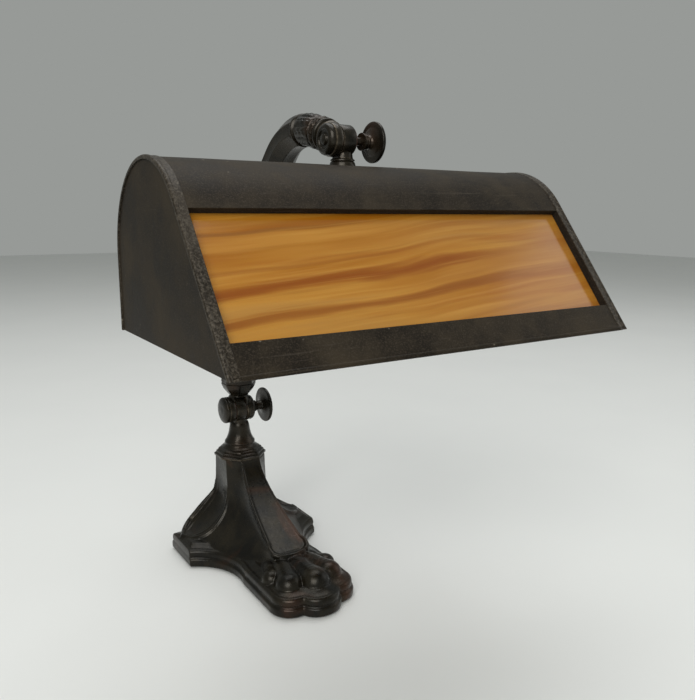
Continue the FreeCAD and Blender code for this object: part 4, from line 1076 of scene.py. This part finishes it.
def glass_form():
    """Model the rolled glass, a little uneven, with softly ground edges."""
    glass_half = box_mm("glass_panel")[1].x
    foot = SHADE_CENTRE - INWARD * SHADE_RADIUS
    foot -= UP_FRONT * ((foot.z - SHADE_BOTTOM) / UP_FRONT.z)
    columns, rows = 64, 20
    low, high, near, far = 13.0, 90.0, 4.85, 7.65
    verts = []
    for depth in (near, far):
        for row in range(rows + 1):
            for column in range(columns + 1):
                x = glass_half * (2 * column / columns - 1)
                rise = low + (high - low) * row / rows
                edge = 0 < row < rows and 0 < column < columns
                uneven = 0.09 * noise.noise(Vector((x * 0.03, rise * 0.09, depth))) if edge else 0.0
                verts.append(foot + UP_FRONT * rise + INWARD * (depth + uneven) + X * x)
    line = columns + 1
    layer = line * (rows + 1)
    faces = []
    for row in range(rows):
        for column in range(columns):
            spot = row * line + column
            faces.append((spot, spot + 1, spot + line + 1, spot + line))
            faces.append((layer + spot + line, layer + spot + line + 1, layer + spot + 1, layer + spot))
    rim = [column for column in range(columns)] + [row * line + columns for row in range(rows)]
    rim += [rows * line + columns
            - column for column in range(columns)] + [(rows - row) * line for row in range(rows)]
    for index, spot in enumerate(rim):
        after = rim[(index + 1) % len(rim)]
        faces.append((spot, layer + spot, layer + after, after))
    item = raw_object("glass", verts, faces)
    bevelled(item, 0.4, 3)
    finish_piece(item, "glass_form", "shade", ["glass_panel"], "slag_glass")


def edge_strips():
    """Model the raised strips that bind the shell's ends, each with a rolled bead outside."""
    section = [(0.0, -1.6), (0.0, -0.4), (0.35, 0.25), (0.95, 0.58), (1.6, 0.60), (2.2, 0.30), (2.6, 0.18),
               (STRIP_WIDTH - 1.0, 0.34), (STRIP_WIDTH - 0.35, 0.32), (STRIP_WIDTH, 0.0), (STRIP_WIDTH, -0.2),
               (2.8, -0.2), (2.6, -1.6)]
    for name, side in (("left_edge_bead", -1), ("right_edge_bead", 1)):
        rings = []
        inner = shade_path(-1.0)
        for index, (point, _) in enumerate(shade_path(0.0)):
            out = (point - inner[index][0]).normalized()
            if index == 0:
                out = -INWARD
            ring = []
            for width, height in section:
                spot = point + out * height
                spot.z = max(spot.z, SHADE_BOTTOM) if index in (0, len(inner) - 1) else spot.z
                spot.x = side * (SHADE_HALF - width)
                ring.append(spot)
            rings.append(ring)
        item = raw_object(name, *loft(rings))
        bevelled(item, 0.1)
        finish_piece(item, name + "_form", "shade", [name], "dark_sheet", 40, material="edge_strip")


# ---- lampholder and bulb ------------------------------------------------------------------------
def threads(start, end, radius, depth, pitch):
    """Return a rounded screw profile."""
    count = int((end - start) / pitch * 8)
    points = []
    for step in range(count + 1):
        along = start + (end - start) * step / count
        points.append((along, radius - depth / 2
                       + depth / 2 * math.cos(2 * math.pi * (along - start) / pitch)))
    return points


def lampholder():
    """Model the turned cap and shell, and the threaded sleeve and bulb base."""
    base = Vector((SOCKET_X, SOCKET.y, SOCKET.z))
    cap = smooth_profile([(0, 7.6), (4.0, 7.7), (5.2, 8.2), (7.0, 10.6), (10.0, 14.2), (13.0, 16.1),
                          (15.0, 16.4),
                          (16.0, 17.0), (20.0, 17.0)], 4)
    inside = smooth_profile([(20.0, 16.3), (15.0, 15.9), (12.0, 14.6), (9.0, 12.2), (7.0, 9.4), (7.0, 4.8)],
                            4)
    profile = [(0, 4.8)] + cap + inside + [(0, 4.8)]
    item = raw_object("cap", *lathe(profile, base, X, 96))
    bevelled(item, 0.2)
    finish_piece(item, "socket_cap_form", "shade", ["socket_cap"], "raw_brass")
    low, high = box_mm("bulb_base")
    metal = [(0, 0.001), (0, 2.4), (0.6, 3.0), (1.0, 4.6), (3.2, 8.5), (3.8, 11.8), (4.2, 12.4)]
    metal += threads(4.6, 19.0, 13.2, 1.0, 3.6) + [(20.0, 12.8), (21.0, 12.8), (21.0, 12.3), (6.0, 12.0),
                                                   (6.0, 0.001)]
    item = raw_object("base", *lathe(metal, Vector((low.x, SOCKET.y, SOCKET.z)), X, 96))
    finish_piece(item, "bulb_base_form", "shade", ["bulb_base"], "bulb_metal", 50)
    low, high = box_mm("screw_shell")
    length = high.x - low.x
    outer = threads(0.0, length - 1.0, 13.8, 0.9, 3.6) + [(length - 0.6, 13.8), (length, 13.8)]
    sleeve = [(0, 13.4)] + outer + [(length, 13.4), (0, 13.4)]
    item = raw_object("sleeve", *lathe(sleeve, Vector((low.x, SOCKET.y, SOCKET.z)), X, 96))
    finish_piece(item, "screw_shell_form", "shade", ["screw_shell"], "raw_brass", 50)
    low, high = box_mm("bulb_glass")
    length = high.x - low.x
    radius = (high.z - low.z) / 2
    envelope = smooth_profile([(0, 11.8), (6.0, 11.8), (11.0, 12.2), (17.0, 14.2), (24.0, radius - 0.1),
                               (32.0, radius)], 6)
    envelope += [(length - radius + radius * math.sin(math.radians(angle)),
                  radius * math.cos(math.radians(angle)))
                 for angle in range(0, 90, 6)] + [(length, 0.001)]
    item = raw_object("envelope", *lathe(envelope + [(0, 0.001)], Vector((low.x, SOCKET.y, SOCKET.z)), X, 96))
    finish_piece(item, "bulb_glass_form", "shade", ["bulb_glass"], "bulb_glass", 60)


# ---- the CAD nodes that stay --------------------------------------------------------------------
def carried_over():
    """Give every CAD node that stays in view its material, and soften the edges of five of them."""
    painted = {
        "left_end_plate": "dark_sheet", "right_end_plate": "dark_sheet", "window_frame": "frame_dark",
        "glass_clips": "raw_brass", "cord_bushing": "bushing",
        "column_nipple": "raw_brass", "column_washer": "raw_brass", "column_locknut": "raw_brass",
        "lower_friction_washers": "fibre", "upper_friction_washers": "fibre", "collar_nipple": "raw_brass",
        "shade_nipple": "raw_brass", "inner_saddle": "raw_brass", "shade_locknut": "raw_brass",
        "socket_bracket": "bracket_steel", "socket_nipple": "raw_brass", "socket_nut": "raw_brass",
        "socket_shell": "raw_brass", "socket_liner": "liner_card", "socket_body": "porcelain",
        "centre_contact": "raw_brass", "switch_key": "black_key", "bulb_stem": "stem_glass",
        "bulb_filament": "filament",
    }
    for node, material in painted.items():
        item = frame["nodes"][node]
        item.data.materials.clear()
        item.data.materials.append(MATERIALS[material])
        if node in ("switch_key", "socket_bracket", "socket_nut", "shade_locknut", "cord_bushing"):
            bevelled(item, 0.35 if node == "switch_key" else 0.2)


# ---- stage --------------------------------------------------------------------------------------
def floor():
    """Lay a pale floor."""
    size = 4000.0
    corners = [Vector((-size, -size, 0)), Vector((size, -size, 0)), Vector((size, size, 0)),
               Vector((-size, size, 0))]
    item = raw_object("floor", corners, [(0, 1, 2, 3)])
    item.location.z = -0.00005
    shade = Shader("floor_paint")
    soft = shade.cloud(6, 3, 0.5)
    colour = shade.blend(soft, (0.70, 0.71, 0.70, 1), (0.74, 0.75, 0.735, 1))
    item.data.materials.append(shade.done(colour, 0.55))


def area_light(name, place, target, size, power, tint=(1, 1, 1)):
    """Add a soft square light aimed at a point."""
    data = bpy.data.lights.new(name, "AREA")
    data.size = size
    data.energy = power
    data.color = tint
    item = bpy.data.objects.new(name, data)
    item.location = place
    item.rotation_euler = (Vector(target) - Vector(place)).to_track_quat("-Z", "Y").to_euler()
    bpy.context.scene.collection.objects.link(item)


def lighting():
    """Light the scene softly from above, the front and the sides."""
    world = bpy.data.worlds.new("studio")
    world.use_nodes = True
    world.node_tree.nodes["Background"].inputs["Color"].default_value = (0.50, 0.52, 0.50, 1)
    world.node_tree.nodes["Background"].inputs["Strength"].default_value = 0.62
    bpy.context.scene.world = world
    area_light("key", (-1.1, -1.4, 1.3), (0, -0.12, 0.18), 1.3, 31, (1.0, 0.99, 0.96))
    area_light("top", (0.2, 0.2, 1.9), (0, -0.12, 0.1), 1.5, 18)
    area_light("side", (1.7, -0.6, 0.9), (0, -0.12, 0.18), 1.2, 4, (0.98, 0.99, 1.0))
    bpy.context.scene.view_settings.view_transform = "Standard"


def camera():
    """Place the camera at the photograph's angle."""
    data = bpy.data.cameras.new("camera")
    data.lens = 36.33
    data.sensor_width = 36.0
    data.clip_start = 0.01
    item = bpy.data.objects.new("camera", data)
    yaw, pitch, roll = math.radians(33.36), math.radians(11.28), math.radians(0.47)
    ahead = Vector((math.sin(yaw) * math.cos(pitch), math.cos(yaw) * math.cos(pitch), -math.sin(pitch)))
    level = Vector((math.cos(yaw), -math.sin(yaw), 0))
    right = level * math.cos(roll) + level.cross(ahead) * math.sin(roll)
    up = right.cross(ahead)
    turn = Matrix((right, up, -ahead)).transposed().to_4x4()
    item.matrix_world = Matrix.Translation(Vector((-237.0, -523.5, 279.8)) * MM) @ turn
    bpy.context.scene.collection.objects.link(item)
    bpy.context.scene.camera = item


camera()
lighting()
floor()
paw_base()
felt()
column_neck()
lower_fork()
arm_tube()
arm_collar()
upper_fork()
cap_nuts()
thumbscrews()
shade_stem()
shade_shell()
edge_strips()
glass_form()
lampholder()
carried_over()
